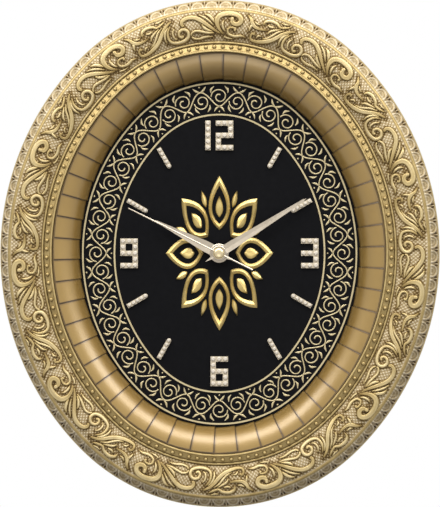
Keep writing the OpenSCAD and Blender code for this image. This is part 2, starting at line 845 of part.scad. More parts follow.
bushing_flange_r = bushing_d / 2 + 2;
cover_post_r = 1.6;
cover_post_at = [[-inner_half + 2, axis_drop - case_wall - 2], [inner_half - 2, axis_drop - case_wall - 2],
    [-inner_half + 2, bay_wall_y + 2], [inner_half - 2, bay_wall_y + 2]];

module movement_case() {
    color([0.13, 0.13, 0.14]) hung() {
        difference() {
            rounded_slab(0, case_back_z, case_front_z);
            box(-inner_half, inner_half, bay_wall_y, axis_drop - case_wall, case_back_z - 1, plate_back_z);
            box(-inner_half, inner_half, -axis_to_bottom + case_wall, bay_wall_y - case_wall, case_back_z - 1,
                battery_z + cell_d / 2 + battery_gap);
            disc(bushing_flange_r + screw_gap, plate_back_z - 1, case_wall + 2);
            translate(motion_at) disc(pivot_r + running_gap, plate_back_z - 1, 1 + case_wall * 0.6);
        }
        front_bearing(third_at, centre_gear_z + wheel_t + 0.9);
        front_bearing(intermediate_at, second_wheel_z + wheel_t + 1.2);
        front_bearing(rotor_at, magnet_z + magnet_h + 0.6);
        for (p = cover_post_at)
            translate(p) disc(cover_post_r, cover_front_z, plate_back_z - cover_front_z + tiny);
    }
}

// Boss inside the cover with a blind bearing for a rear pivot
module rear_bearing(at, r) {
    translate(at) disc(r * 2.4, cover_front_z - tiny, bearing_h);
}

module rear_bore(at, r) {
    translate(at) disc(r + running_gap, cover_front_z - case_wall * 0.5, bearing_h + case_wall);
}

cover_fit = 0.1;
board_post_at = [[-inner_half + 3, bay_wall_y + 6], [-inner_half + 3, bay_wall_y + 12]];

module movement_cover() {
    color([0.13, 0.13, 0.14]) hung() difference() {
        union() {
            box(-inner_half + cover_fit, inner_half - cover_fit, bay_wall_y + cover_fit,
                axis_drop - case_wall - cover_fit, case_back_z, cover_front_z);
            rear_bearing([0, 0], second_r);
            for (at = [third_at, intermediate_at, rotor_at])
                rear_bearing(at, pivot_r);
            for (p = board_post_at)
                translate(p) disc(1.2, cover_front_z - tiny, board_z - cover_front_z + tiny);
        }
        rear_bore([0, 0], second_r);
        for (at = [third_at, intermediate_at, rotor_at])
            rear_bore(at, pivot_r);
        translate(motion_at) disc(setting_r + running_gap, case_back_z - 1, case_wall + 2);
    }
}

module threaded_bushing() {
    color([0.8, 0.68, 0.4]) hung() difference() {
        union() {
            disc(bushing_flange_r, plate_back_z, case_wall);
            disc(bushing_d / 2, case_front_z - tiny, bushing_z - case_front_z + tiny);
        }
        disc(hour_r + running_gap, plate_back_z - 1, bushing_z - plate_back_z + 2);
    }
}

module rubber_washer() {
    color([0.1, 0.1, 0.1]) hung() tube(bushing_d, bushing_d / 2 + screw_gap, case_front_z, rubber_t);
}

module brass_washer() {
    color([0.8, 0.68, 0.4]) hung() tube(bushing_d * 0.8, bushing_d / 2 + screw_gap, dial_z, washer_t);
}

module hex_nut() {
    color([0.8, 0.68, 0.4]) hung() translate([0, 0, dial_z + washer_t]) difference() {
        cylinder(d = nut_flats / cos(30), h = nut_t, $fn = 6);
        translate([0, 0, -1]) cylinder(r = bushing_d / 2 + screw_gap, h = nut_t + 2);
    }
}

// Cell lies along x with its button to the right, against the positive strip
button_x = inner_half - contact_t;
cell_right_x = button_x - button_l;
cell_left_x = cell_right_x - cell_l;
button_r = 2.75;

module along_x(x) {
    translate([x, battery_y, battery_z]) rotate([0, 90, 0]) children();
}

module battery() {
    color([0.25, 0.45, 0.3]) hung() {
        along_x(cell_left_x) cylinder(d = cell_d, h = cell_l);
        along_x(cell_right_x - tiny) cylinder(r = button_r, h = button_l + tiny);
    }
}

module positive_contact() {
    color([0.8, 0.8, 0.78]) hung()
        box(button_x, inner_half, battery_y - 5, battery_y + 5, battery_z - 6, battery_z + 6);
}

module negative_contact() {
    color([0.8, 0.8, 0.78]) hung() {
        box(-inner_half, -inner_half + contact_t, battery_y - 5, battery_y + 5, battery_z - 6, battery_z + 6);
        along_x(-inner_half + contact_t - tiny)
            cylinder(r1 = 4, r2 = 1.6, h = cell_left_x + inner_half - contact_t + tiny);
    }
}

board_x = -inner_half + 0.6;
board_y = bay_wall_y + 4.4;
board_w = 17;
board_h = 11;
chip_side = 4;
chip_t = 0.8;
crystal_r = 1;
crystal_l = 6;

module circuit_board() {
    color([0.2, 0.4, 0.25]) hung()
        box(board_x, board_x + board_w, board_y, board_y + board_h, board_z, board_z + board_t);
}

module quartz_crystal() {
    color([0.8, 0.8, 0.8]) hung()
        translate([board_x + 5, board_y + 2.4, board_z + board_t + crystal_r]) rotate([0, 90, 0])
            cylinder(r = crystal_r, h = crystal_l);
}

module control_chip() {
    color([0.08, 0.08, 0.08]) hung() translate([board_x + 8, board_y + 7, board_z + board_t])
        linear_extrude(chip_t) square(chip_side, center = true);
}

core_z = stator_z - stator_t;
coil_z = core_z + stator_t / 2;

module coil_core() {
    color([0.6, 0.6, 0.62]) hung()
        box(coil_x - core_w / 2, coil_x + core_w / 2, coil_y - core_l / 2, coil_y + core_l / 2, core_z,
            core_z + stator_t);
}

module along_y(y) {
    translate([coil_x, y, coil_z]) rotate([-90, 0, 0]) children();
}

bobbin_r = 2.4;
bobbin_flange_t = 0.8;

module coil_bobbin() {
    color([0.9, 0.9, 0.86]) hung() difference() {
        union() {
            along_y(coil_y - coil_l / 2) cylinder(r = bobbin_r, h = coil_l);
            for (y = [coil_y - coil_l / 2, coil_y + coil_l / 2 - bobbin_flange_t])
                along_y(y) cylinder(r = coil_r + 0.3, h = bobbin_flange_t);
        }
        box(coil_x - core_w / 2 - 0.05, coil_x + core_w / 2 + 0.05, coil_y - coil_l, coil_y + coil_l,
            core_z - 0.05, core_z + stator_t + 0.05);
    }
}

module coil_winding() {
    color([0.72, 0.42, 0.22]) hung() difference() {
        along_y(coil_y - coil_l / 2 + bobbin_flange_t) cylinder(r = coil_r, h = coil_l - 2 * bobbin_flange_t);
        along_y(coil_y - coil_l) cylinder(r = bobbin_r, h = coil_l * 2);
    }
}

// Flat pole piece: a ring round the magnet and an arm to each end of the coil core
module stator() {
    arm = 3;
    ring_r = magnet_r + 2;
    air_gap = 0.4;
    low_y = coil_y - core_l / 2;
    high_y = coil_y + core_l / 2;
    end_x = coil_x + core_w / 2;
    riser_x = coil_x - coil_r - arm - 1.6;
    color([0.6, 0.6, 0.62]) hung() translate([0, 0, stator_z]) linear_extrude(stator_t) difference() {
        union() {
            translate(rotor_at) circle(ring_r);
            translate([rotor_at.x - arm / 2, low_y]) square([arm, rotor_at.y - low_y]);
            translate([rotor_at.x - arm / 2, low_y]) square([end_x - rotor_at.x + arm / 2, arm]);
            translate(rotor_at) square([riser_x - rotor_at.x + arm, arm]);
            translate([riser_x, rotor_at.y]) square([arm, high_y - rotor_at.y]);
            translate([riser_x, high_y - arm]) square([end_x - riser_x, arm]);
        }
        translate(rotor_at) circle(magnet_r + air_gap);
    }
}

module arbor(z0, z1, rear_z, front_z) {
    disc(pivot_r, rear_z, front_z - rear_z);
    disc(arbor_r, z0, z1 - z0);
}

rear_pivot_z = cover_front_z - case_wall * 0.4;
arbor_back_z = cover_front_z + bearing_h + 0.2;

module rotor_magnet() {
    color([0.35, 0.35, 0.37]) hung() translate(rotor_at) tube(magnet_r, arbor_r, magnet_z, magnet_h);
}

module rotor_pinion() {
    color([0.93, 0.92, 0.88]) hung() translate(rotor_at) {
        pinion(rotor_teeth, rotor_mod, rotor_dir + 180, intermediate_z);
        arbor(arbor_back_z, magnet_z + magnet_h + 0.3, rear_pivot_z, magnet_z + magnet_h + 1.4);
    }
}

module intermediate_wheel() {
    color([0.93, 0.92, 0.88]) hung() translate(intermediate_at) {
        gear(intermediate_teeth, rotor_mod, rotor_dir, intermediate_z, wheel_t);
        pinion(intermediate_pinion_teeth, seconds_mod, intermediate_dir + 180, second_wheel_z);
        arbor(arbor_back_z, second_wheel_z + wheel_t + 0.9, rear_pivot_z, second_wheel_z + wheel_t + 2);
    }
}

module second_wheel() {
    color([0.93, 0.92, 0.88]) hung() {
        gear(second_teeth, seconds_mod, intermediate_dir, second_wheel_z, wheel_t);
        pinion(second_pinion_teeth, third_mod, third_dir, third_wheel_z);
        disc(second_r + 0.3, arbor_back_z, second_wheel_z - arbor_back_z + tiny);
        disc(second_r, rear_pivot_z, cap_z - rear_pivot_z);
    }
}

module third_wheel() {
    color([0.93, 0.92, 0.88]) hung() translate(third_at) {
        gear(third_teeth, third_mod, third_dir + 180, third_wheel_z, wheel_t);
        pinion(third_pinion_teeth, centre_mod, third_dir + 180, centre_gear_z);
        arbor(arbor_back_z, centre_gear_z + wheel_t + 0.6, rear_pivot_z, centre_gear_z + wheel_t + 1.7);
    }
}

shoulder_r = minute_r + 0.5;

module centre_gear() {
    color([0.93, 0.92, 0.88]) hung() difference() {
        gear(centre_teeth, centre_mod, third_dir, centre_gear_z, wheel_t);
        disc(shoulder_r + running_gap, centre_gear_z - 1, wheel_t + 2);
    }
}

// Dished washer between the centre gear and the minute tube's pinion, which lets the hands be set
module clutch_spring() {
    foot_z = centre_gear_z + wheel_t + 0.05;
    top_z = motion_wheel_z - pinion_over;
    t = 0.3;
    color([0.8, 0.7, 0.45]) hung() rotate_extrude() polygon([
        [shoulder_r + 0.05, top_z - t], [shoulder_r + 0.05, top_z], [shoulder_r + 0.6, top_z],
        [shoulder_r + 2, foot_z + t], [shoulder_r + 2, foot_z], [shoulder_r + 1.4, foot_z]
    ]);
}

module minute_tube() {
    flange_z = centre_gear_z - 0.45;
    color([0.93, 0.92, 0.88]) hung() difference() {
        union() {
            disc(shoulder_r + 0.7, flange_z, 0.4);
            disc(shoulder_r, flange_z, motion_wheel_z - flange_z);
            pinion(cannon_teeth, minutes_mod, motion_dir, motion_wheel_z);
            disc(minute_r, motion_wheel_z, minute_hand_z + hand_t - motion_wheel_z);
        }
        disc(second_r + running_gap, flange_z - 1, minute_hand_z + hand_t - flange_z + 2);
    }
}

knob_t = 2.2;
knob_teeth = 24;
knob_mod = 0.42;
knob_z = case_back_z - knob_t - 0.3;

module motion_wheel() {
    color([0.93, 0.92, 0.88]) hung() translate(motion_at) {
        gear(motion_teeth, minutes_mod, motion_dir + 180, motion_wheel_z, wheel_t);
        gear(motion_pinion_teeth, hours_mod, gap_phase(motion_pinion_teeth, motion_dir + 180),
            hour_wheel_z - pinion_over, wheel_t + pinion_over);
        disc(setting_r, knob_z + knob_t, hour_wheel_z + wheel_t - knob_z - knob_t);
        disc(pivot_r, hour_wheel_z + wheel_t - tiny, plate_back_z + case_wall * 0.4 - hour_wheel_z - wheel_t);
    }
}

module setting_knob() {
    color([0.13, 0.13, 0.14]) hung() translate(motion_at) gear(knob_teeth, knob_mod, 0, knob_z, knob_t);
}

module hour_wheel() {
    color([0.93, 0.92, 0.88]) hung() difference() {
        union() {
            gear(hour_teeth, hours_mod, motion_dir, hour_wheel_z, wheel_t);
            disc(hour_r, hour_wheel_z, hour_hand_z + hand_t - hour_wheel_z);
        }
        disc(minute_r + running_gap, hour_wheel_z - 1, hour_hand_z + hand_t - hour_wheel_z + 2);
    }
}

outer_frame();
cove_ring();
frame_screws();
dial_plate();
outer_dial_line();
inner_dial_line();
centre_ornament();
numeral_12();
numeral_3();
numeral_6();
numeral_9();
hour_batons();
rhinestones();
dial_clips();
clip_screws();
hanger_plate();
hanger_screws();
hour_hand();
minute_hand();
second_hand();
centre_cap();
movement_case();
movement_cover();
threaded_bushing();
rubber_washer();
brass_washer();
hex_nut();
battery();
positive_contact();
negative_contact();
circuit_board();
quartz_crystal();
control_chip();
coil_core();
coil_bobbin();
coil_winding();
stator();
rotor_magnet();
rotor_pinion();
intermediate_wheel();
second_wheel();
third_wheel();
centre_gear();
clutch_spring();
minute_tube();
motion_wheel();
setting_knob();
hour_wheel();
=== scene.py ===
"""Looks of an oval wall clock: gilt frame, panelled cove, black dial, stone figures, hands and movement."""
import json
import math

import bpy
import numpy as np
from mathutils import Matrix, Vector

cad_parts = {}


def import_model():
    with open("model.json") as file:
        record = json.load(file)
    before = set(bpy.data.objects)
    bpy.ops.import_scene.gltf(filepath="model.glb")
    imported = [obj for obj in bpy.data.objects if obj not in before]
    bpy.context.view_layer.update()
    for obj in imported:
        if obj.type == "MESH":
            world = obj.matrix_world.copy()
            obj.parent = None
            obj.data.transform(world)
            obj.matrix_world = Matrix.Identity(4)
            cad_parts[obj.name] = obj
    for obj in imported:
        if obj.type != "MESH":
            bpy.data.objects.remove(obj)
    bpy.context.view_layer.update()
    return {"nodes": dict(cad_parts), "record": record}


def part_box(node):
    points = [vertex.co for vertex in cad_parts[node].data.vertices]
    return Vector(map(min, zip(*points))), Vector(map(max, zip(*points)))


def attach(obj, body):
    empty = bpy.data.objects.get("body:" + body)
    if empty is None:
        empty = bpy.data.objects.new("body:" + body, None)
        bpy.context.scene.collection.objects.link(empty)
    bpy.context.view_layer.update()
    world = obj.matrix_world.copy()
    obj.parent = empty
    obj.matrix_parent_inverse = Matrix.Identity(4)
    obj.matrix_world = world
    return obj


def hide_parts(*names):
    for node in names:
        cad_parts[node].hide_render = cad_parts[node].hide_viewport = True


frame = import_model()

# Lengths below are in millimetres about the dial's centre: x right, y up, h off the wall
MM = 0.001
frame_low, frame_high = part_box("outer_frame")
AXIS_Z = (frame_low.z + frame_high.z) / 2
HALF_W = (frame_high.x - frame_low.x) / 2 / MM
HALF_H = (frame_high.z - frame_low.z) / 2 / MM
FRONT_H = -frame_low.y / MM
DIAL_H = -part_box("dial_plate")[0].y / MM
DIAL_BACK_H = -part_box("dial_plate")[1].y / MM
COVE_H = DIAL_H + 17
LIP_H = COVE_H + 1
LIP_BACK_H = COVE_H - 3.4
RIDGE_H = LIP_H + 1.4
SLOPE_TOP_H = RIDGE_H - 1
SLOPE_FOOT_H = SLOPE_TOP_H - 12
SIDE_H = 20.0
RIM_TOP_H = SLOPE_FOOT_H - 3
INSIDE_TOP_H = SLOPE_FOOT_H - 2
COVE_T = 2.4
FLANGE_BACK_H = LIP_BACK_H - COVE_T

# Least gap or lap between two surfaces, and radius at the middle of a closed round
HAIR = 0.1
PIN_R = 0.05

# Places across the moulding, set in from the widest outline
SIDE_DRAFT = 2.5
RIM_W = 4.5
RIM_ROUND_AT = 0.25
RIM_ROUND_DROP = 1.2
SLOPE_AT = 1.2
SCALLOP_BED = 1.0
SCALLOP_BED_DROP = 1.5
RIDGE_AT = 8.0
RIDGE_W = 1.8
RIDGE_LAP = 0.6
RIDGE_RISE = 0.3
RIDGE_BULGE = 0.35
FIELD_AT = RIDGE_AT + RIDGE_W
FIELD_W = 24.8
FIELD_MID_AT = FIELD_AT + FIELD_W / 2
BAND_AT = FIELD_AT + FIELD_W
FILLET_W = 1.9
LIP_AT = BAND_AT + 8.8
BEAD_AT = (BAND_AT + LIP_AT) / 2
BAND_TILT = 1.3
BEAD_R = 1.75
BEAD_BED_DROP = 0.4
BEAD_BED_EASE = 0.6
COVE_AT = LIP_AT + 1.5
DIAL_AT = COVE_AT + 19.1
POST_AT = LIP_AT - 4.2
FLANGE_AT = 24.8
INSIDE_AT = FIELD_AT + 1.6
INNER_LINE_AT = DIAL_AT + 27
BATON_AT = INNER_LINE_AT + 3.9

# Bosses for the hanger and posts for the dial's clips, each with a screw hole
BOSS_R = 4.0
BOSS_ROOT = 0.3
BOSS_EDGE = 0.2
HANGER_PITCH = 44.0
POSTS = 8
POST_R = 3.2
POST_ROOT = 0.4
POST_EDGE = 0.3
SCREW_R = 1.3

# Counts round the oval
STATIONS = 720
SCALLOPS = 101
BEADS = 140
PANELS = 50
MOTIFS = 11
VINE_UNITS = 24

# How far a stroke's edges go into the ground
STROKE_SINK = 0.25

# Ornament field: a crest that drops towards the beads, with a knurled ground
FIELD_DROP = 3.1
FIELD_BULGE = 3.2
KNURLS = 34
KNURL_PITCH = 3.4
KNURL_DEPTH = 0.45
FIELD_EDGE = 1.5
FIELD_BED = 0.6
SHADOW_W = 1.6
GROOVE_W = 1.4
MOTIF_START = -0.338

# Cove panels: each drops towards its end and steps up at the seam
COVE_BULGE = 3.8
PANEL_STEP = 0.8
FIRST_SEAM = 0.22
SEAM_SHARE = 0.03
LEDGE_DROP = 1.0
BACK_CLEARANCE = (0.5, 0.6)

# Dark wash in knurl valleys, in the groove by the beads and at the ledge; painted shadow beside the scrolls;
# dark wash and painted shade down the scrolls' flanks, least on their crests; painted shade on the cove
# towards the dial
KNURL_WASH = 0.65
SHADOW_WASH = 0.35
GROOVE_WASH = 0.6
SCROLL_WASH_AND_SHADE = 0.8
CREST_WASH = 0.1
COVE_PAINTED_SHADE = 0.35
LEDGE_WASH = 0.3

# Vine in the band between the two gold lines
VINE_AT = DIAL_AT + 3.2
VINE_W = 23.2
VINE_MID_AT = VINE_AT + VINE_W / 2
VINE_LIFT = 0.25
VINE_EDGE = 0.4
VINE_WAVE = 6.0
SPIRAL_R = 6.6
SPIRAL_TURNS = 1.35
SPIRAL_CLOSE = 0.78
SPIRAL_OFF = 1.5
BERRY_L = 1.4
BERRY_R = 0.8
LEAF_HALVES = [0.3, 1.0, 0.25]
STEM_LEAF = [(0.0, -6.4), (2.6, -7.6), (4.8, -10.4)]
SPIRAL_LEAF = [(6.4, 3.0), (6.2, 6.0), (3.6, 8.8)]

# Centre ornament: petals drawn on a circle of radius DRAWN_R, then stretched
DRAWN_R = 100
PETALS = 8
ORNAMENT_W = 43.0
ORNAMENT_H = 62.0
ORNAMENT_HOLE = 13.0
ORNAMENT_T = 1.6
PETAL_RIM = 3.4
PETAL_SHARE = 0.62
PETAL_POINT = 1.6
LEAF_EDGE_H = 0.5
LEAF_TIP = 74
LEAF_SHARE = 0.34
BUD_FOOT = 64
BUD_TIP = 88
BUD_SHARE = 0.22

# Figures as rows of cells, with the side of their tray that they start from
CELL = 4.9
STROKE_W = 4.2
STONE_D = 3.9
FIGURES = [
    ("numeral_12", "left", ["1", "1", "1", "1", "1"]),
    ("numeral_12", "right", ["111", "001", "111", "100", "111"]),
    ("numeral_3", "left", ["111", "001", "111", "001", "111"]),
    ("numeral_6", "left", ["111", "100", "111", "101", "111"]),
    ("numeral_9", "left", ["111", "101", "111", "001", "111"]),
]
BATON_HOURS = [1, 2, 4, 5, 7, 8, 10, 11]
BATON_STONES = 5
BATON_PITCH = 3.7
BATON_STONE_D = 3.3
STONE_GIRDLE = 0.3
STONE_CROWN = 0.95
STONE_FACET = 0.8
STONE_TABLE = 0.54

# Hands, along y from their hub
HAND_TAIL = 12.8
HAND_T = 0.8
HUB_D = 15.2
HUB_EDGE = 0.5
NEEDLE_ANGLE = 296.4
NEEDLE_HALF = 0.6
NEEDLE_TIP_HALF = 0.4
NEEDLE_ALONG = [-30.0, -12.0, 0.0, 60.0, 81.0]
NEEDLE_BOSS_R = 2.1
NEEDLE_BOSS_EDGE_H = 0.6
NEEDLE_BOSS_TOP_R = 1.9
NEEDLE_BORE_R = 0.6
CAP_EDGE = 0.35
CAP_DOME = 0.93

# Lance hands: piece, node, body, length, width, tip, clock angle, hub and bore
LANCES = [
    ("hour_lance", "hour_hand", "hours", 58.0, 8.8, 1.4, 297, HUB_D, 2.66),
    ("minute_lance", "minute_hand", "minutes", 82.0, 7.2, 2.0, 58, HUB_D * 0.8, 1.76),
]

# Studio and camera
AMBIENT = 0.14
LIGHT_ARC = [-50, -25, 0, 25, 50]
LIGHT_POWER = 8.6
LIGHT_SIZE = (0.45, 0.8)
LIGHT_UP = 1.32
LIGHT_FRONT = 0.76
FILL_POWER = 5.5
FILL_PLACE = (0.0, -1.8, AXIS_Z - 0.8)
FILL_SIZE = (0.8, 0.8)
FLOOR_DROP = 1.6
FLOOR_SIZE = 2.0
PICTURE_W = 440
PICTURE_H = 507
CAMERA_AZIMUTH = 2.0
CAMERA_ELEVATION = -0.5
CAMERA_DISTANCE = 1.7
CAMERA_AIM_H = 20.0
SENSOR_H = 24.0

# Oval of four tangent arcs
ARC_SHIFT = (HALF_H - HALF_W) / (2 - math.sqrt(2))
SIDE_R = HALF_W + ARC_SHIFT
END_R = HALF_H - ARC_SHIFT
ARC_TURNS = [90, 45, -45, -135, -225, -270]


def oval_run(inset):
    """Length of the oval set in by a distance."""
    return math.pi * (SIDE_R + END_R - 2 * inset)


def oval_turn(share, measured_at):
    """Direction in radians at a share of the clockwise run from twelve o'clock."""
    end = (END_R - measured_at) * math.pi / 2
    side = (SIDE_R - measured_at) * math.pi / 2
    knots = np.cumsum([0, end / 2, side, end, side, end / 2])
    return np.radians(np.interp(np.mod(share, 1.0) * knots[-1], knots, ARC_TURNS))


def oval_xy(turn, inset):
    """Point of the oval set in by a distance, in a direction of its normal."""
    on_side = np.abs(np.cos(turn)) > math.sqrt(0.5)
    radius = np.where(on_side, SIDE_R, END_R) - inset
    middle_x = np.where(on_side, -ARC_SHIFT * np.sign(np.cos(turn)), 0)
    middle_y = np.where(on_side, 0, ARC_SHIFT * np.sign(np.sin(turn)))
    return middle_x + radius * np.cos(turn), middle_y + radius * np.sin(turn)


def oval_reach(direction, inset):
    """Distance from the dial's centre to the oval set in by a distance, along a direction."""
    on_side = abs(math.cos(direction)) > math.sqrt(0.5)
    radius = (SIDE_R if on_side else END_R) - inset
    along = -ARC_SHIFT * abs(math.cos(direction)) if on_side else ARC_SHIFT * abs(math.sin(direction))
    return along + math.sqrt(along**2 - ARC_SHIFT**2 + radius**2)


def world(x, y, h):
    """Points in metres in the shared frame."""
    x, y, h = np.broadcast_arrays(x, y, h)
    return np.stack([x * MM, -h * MM, AXIS_Z + y * MM], axis=-1)


def on_oval(share, inset, h, measured_at):
    """World points at shares of the run, insets and heights."""
    x, y = oval_xy(oval_turn(share, measured_at), inset)
    return world(x, y, h)


def bulge_arc(start, end, bulge, steps):
    """Points on a circle between two points of a section, bulging to the left of the way."""
    start = np.array(start, float)
    end = np.array(end, float)
    chord = end - start
    half = np.hypot(*chord) / 2
    radius = (half**2 + bulge**2) / (2 * bulge)
    left = np.array([-chord[1], chord[0]]) / (2 * half)
    middle = (start + end) / 2 - left * (radius - bulge)
    first = math.atan2(*(start - middle)[::-1])
    turns = first - np.linspace(0, 2 * math.asin(half / radius), steps + 1)
    return middle + radius * np.stack([np.cos(turns), np.sin(turns)], axis=1)


def half_round(inset, h, width, steps=10):
    """Half-round moulding in a section."""
    turns = np.linspace(math.pi, 0, steps + 1)
    return np.stack([inset + width / 2 + width / 2 * np.cos(turns), h + width / 2 * np.sin(turns)], axis=1)


def grid_faces(rows, columns, wrap_rows=False, wrap_columns=False):
    """Quads of a grid of points stored row by row."""
    across = np.arange(columns - (not wrap_columns))
    i, j = np.meshgrid(np.arange(rows - (not wrap_rows)), across, indexing="ij")
    i = i.ravel()
    j = j.ravel()
    up = (i + 1) % rows
    right = (j + 1) % columns
    return np.stack([i * columns + j, i * columns + right, up * columns + right, up * columns + j], axis=1)


class Shape:
    """Mesh under construction, with a darkening value at each point: 0 on worn highs, 1 in recesses; on the
    scrolls' flanks, beside the scrolls and on the cove towards the dial it is painted shade.
    """

    def __init__(self):
        self.points = []
        self.faces = []
        self.wash_and_shade = []

    def add(self, points, faces, wash_and_shade=0.0):
        """Adds points of any grid shape with faces that count from its first point."""
        flat = np.asarray(points).reshape(-1, 3)
        start = len(self.points)
        self.points.extend(flat.tolist())
        self.faces.extend([[corner + start for corner in face] for face in np.asarray(faces).tolist()])
        self.wash_and_shade.extend(np.broadcast_to(np.ravel(wash_and_shade), len(flat)).tolist())

    def piece(self, name, material, body="root", sharp=35.0, replaces=()):
        """Turns the shape into a piece that rides on a body."""
        mesh = bpy.data.meshes.new(name)
        mesh.from_pydata(self.points, [], self.faces)
        mesh.attributes.new("wash_and_shade", "FLOAT", "POINT").data.foreach_set("value", self.wash_and_shade)
        mesh.validate()
        mesh.shade_smooth()
        mesh.set_sharp_from_angle(angle=math.radians(sharp))
        mesh.materials.append(MATERIALS[material])
        obj = bpy.data.objects.new(name, mesh)
        bpy.context.scene.collection.objects.link(obj)
        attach(obj, body)
        if replaces:
            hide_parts(*replaces)
        return obj


def lathe(shape, x, y, profile, steps=32, wash_and_shade=0.0):
    """Round piece about an axis towards the viewer, from (radius, height) points, outside first."""
    turns = np.linspace(0, 2 * math.pi, steps, endpoint=False)
    radius, h = np.array(profile, float).T
    points = world(x + np.outer(np.sin(turns), radius), y + np.outer(np.cos(turns), radius), h)
    rows = np.broadcast_to(wash_and_shade, len(radius))
    shape.add(points, grid_faces(steps, len(radius), wrap_rows=True), np.tile(rows, steps))


def smooth_path(points, step=0.6):
    """Catmull-Rom curve through points, in even steps."""
    knots = np.array(points, float)
    padded = np.vstack([2 * knots[0] - knots[1], knots, 2 * knots[-1] - knots[-2]])
    t = np.linspace(0, 1, 16, endpoint=False)[:, None]
    legs = []
    for a, b, c, d in zip(padded, padded[1:], padded[2:], padded[3:]):
        curve = (2 * a - 5 * b + 4 * c - d) * t**2 + (3 * b - a - 3 * c + d) * t**3
        legs.append(0.5 * (2 * b + (c - a) * t + curve))
    dense = np.vstack(legs + [knots[-1:]])
    run = np.concatenate([[0], np.cumsum(np.hypot(*np.diff(dense, axis=0).T))])
    even = np.linspace(0, run[-1], max(4, int(run[-1] / step)))
    return np.stack([np.interp(even, run, dense[:, 0]), np.interp(even, run, dense[:, 1])], axis=1)


def stroke(points, halves, lift, columns=9, step=0.6):
    """Raised stroke along a path: grids of u, v and rise, with round ends and sunk edges."""
    path = smooth_path(points, step)
    run = np.concatenate([[0], np.cumsum(np.hypot(*np.diff(path, axis=0).T))])
    half = np.interp(run / run[-1], np.linspace(0, 1, len(halves)), halves)
    for from_end in (run, run[-1] - run):
        near = np.clip(from_end / np.maximum(half, 0.01), 0.0, 1.0)
        half = half * np.sqrt(np.maximum(1 - (1 - near) ** 2, 0.002))
    along = np.gradient(path, axis=0)
    along /= np.maximum(np.hypot(*along.T), 1e-6)[:, None]
    lean = np.linspace(-math.pi / 2, math.pi / 2, columns)
    across = half[:, None] * np.sin(lean)
    u = path[:, :1] - along[:, 1:] * across
    v = path[:, 1:] + along[:, :1] * across
    tall = lift * half / max(halves)
    rise = tall[:, None] * np.cos(lean)
    rise[:, [0, -1]] -= STROKE_SINK
    return u, v, rise


def linear(red, green, blue):
    """Scene colour from a colour as seen on a screen."""
    return tuple(((c / 255 + 0.055) / 1.055) ** 2.4 for c in (red, green, blue)) + (1.0,)


class Finish:
    """Principled material with short ways to make its nodes."""

    def __init__(self, name, metal=0.0, rough=0.5, gloss=0.5):
        self.material = bpy.data.materials.new(name)
        self.material.use_nodes = True
        self.tree = self.material.node_tree
        self.shader = self.tree.nodes["Principled BSDF"]
        self.shader.inputs["Metallic"].default_value = metal
        self.shader.inputs["Roughness"].default_value = rough
        self.shader.inputs["Specular IOR Level"].default_value = gloss
        self.place = self.node("ShaderNodeTexCoord").outputs["Object"]

    def node(self, kind, **settings):
        """Adds a node."""
        made = self.tree.nodes.new(kind)
        for key, value in settings.items():
            setattr(made, key, value)
        return made

    def feed(self, source, socket):
        """Links two sockets."""
        self.tree.links.new(source, socket)

    def noise(self, scale, detail=4.0):
        """Noise over the object."""
        made = self.node("ShaderNodeTexNoise")
        made.inputs["Scale"].default_value = scale
        made.inputs["Detail"].default_value = detail
        self.feed(self.place, made.inputs["Vector"])
        return made.outputs["Fac"]

    def wash_and_shade(self):
        """The mesh's darkening value: dark wash in recesses, and painted shade on the scrolls and the cove.
        """
        return self.node("ShaderNodeAttribute", attribute_name="wash_and_shade").outputs["Fac"]

    def axis(self, name):
        """One coordinate of the place on the object."""
        split = self.node("ShaderNodeSeparateXYZ")
        self.feed(self.place, split.inputs[0])
        return split.outputs[name]

    def math(self, operation, first, second):
        """Sum, product or like of two values."""
        made = self.node("ShaderNodeMath", operation=operation)
        for socket, value in zip(made.inputs, (first, second)):
            if isinstance(value, (int, float)):
                socket.default_value = value
            else:
                self.feed(value, socket)
        return made.outputs[0]

    def ramp(self, factor, stops):
        """Colour by a factor."""
        made = self.node("ShaderNodeValToRGB")
        while len(made.color_ramp.elements) < len(stops):
            made.color_ramp.elements.new(1.0)
        for element, (position, colour) in zip(made.color_ramp.elements, stops):
            element.position = position
            element.color = linear(*colour)
        self.feed(factor, made.inputs["Fac"])
        return made.outputs["Color"]

    def colour(self, source):
        """Sets the base colour."""
        self.feed(source, self.shader.inputs["Base Color"])

    def rough(self, factor, low, high):
        """Roughness that varies with a factor."""
        made = self.node("ShaderNodeMapRange")
        made.inputs["To Min"].default_value = low
        made.inputs["To Max"].default_value = high
        self.feed(factor, made.inputs["Value"])
        self.feed(made.outputs["Result"], self.shader.inputs["Roughness"])

    def bump(self, height, distance):
        """Fine relief."""
        made = self.node("ShaderNodeBump")
        made.inputs["Distance"].default_value = distance * MM
        self.feed(height, made.inputs["Height"])
        self.feed(made.outputs["Normal"], self.shader.inputs["Normal"])


def gilt(name, stops, metal):
    """Gold paint with dark wash in the recesses and worn highs, and painted shade beside the scrolls and down
    their flanks.
    """
    finish = Finish(name, metal=metal, rough=0.42, gloss=0.15)
    wear = finish.math("MULTIPLY", finish.math("SUBTRACT", finish.noise(160.0), 0.5), 0.35)
    depth = finish.math("ADD", finish.wash_and_shade(), wear)
    finish.colour(finish.ramp(depth, stops))
    finish.rough(finish.noise(420.0), 0.34, 0.52)
    finish.bump(finish.noise(900.0, 6.0), 0.04)
    return finish.material


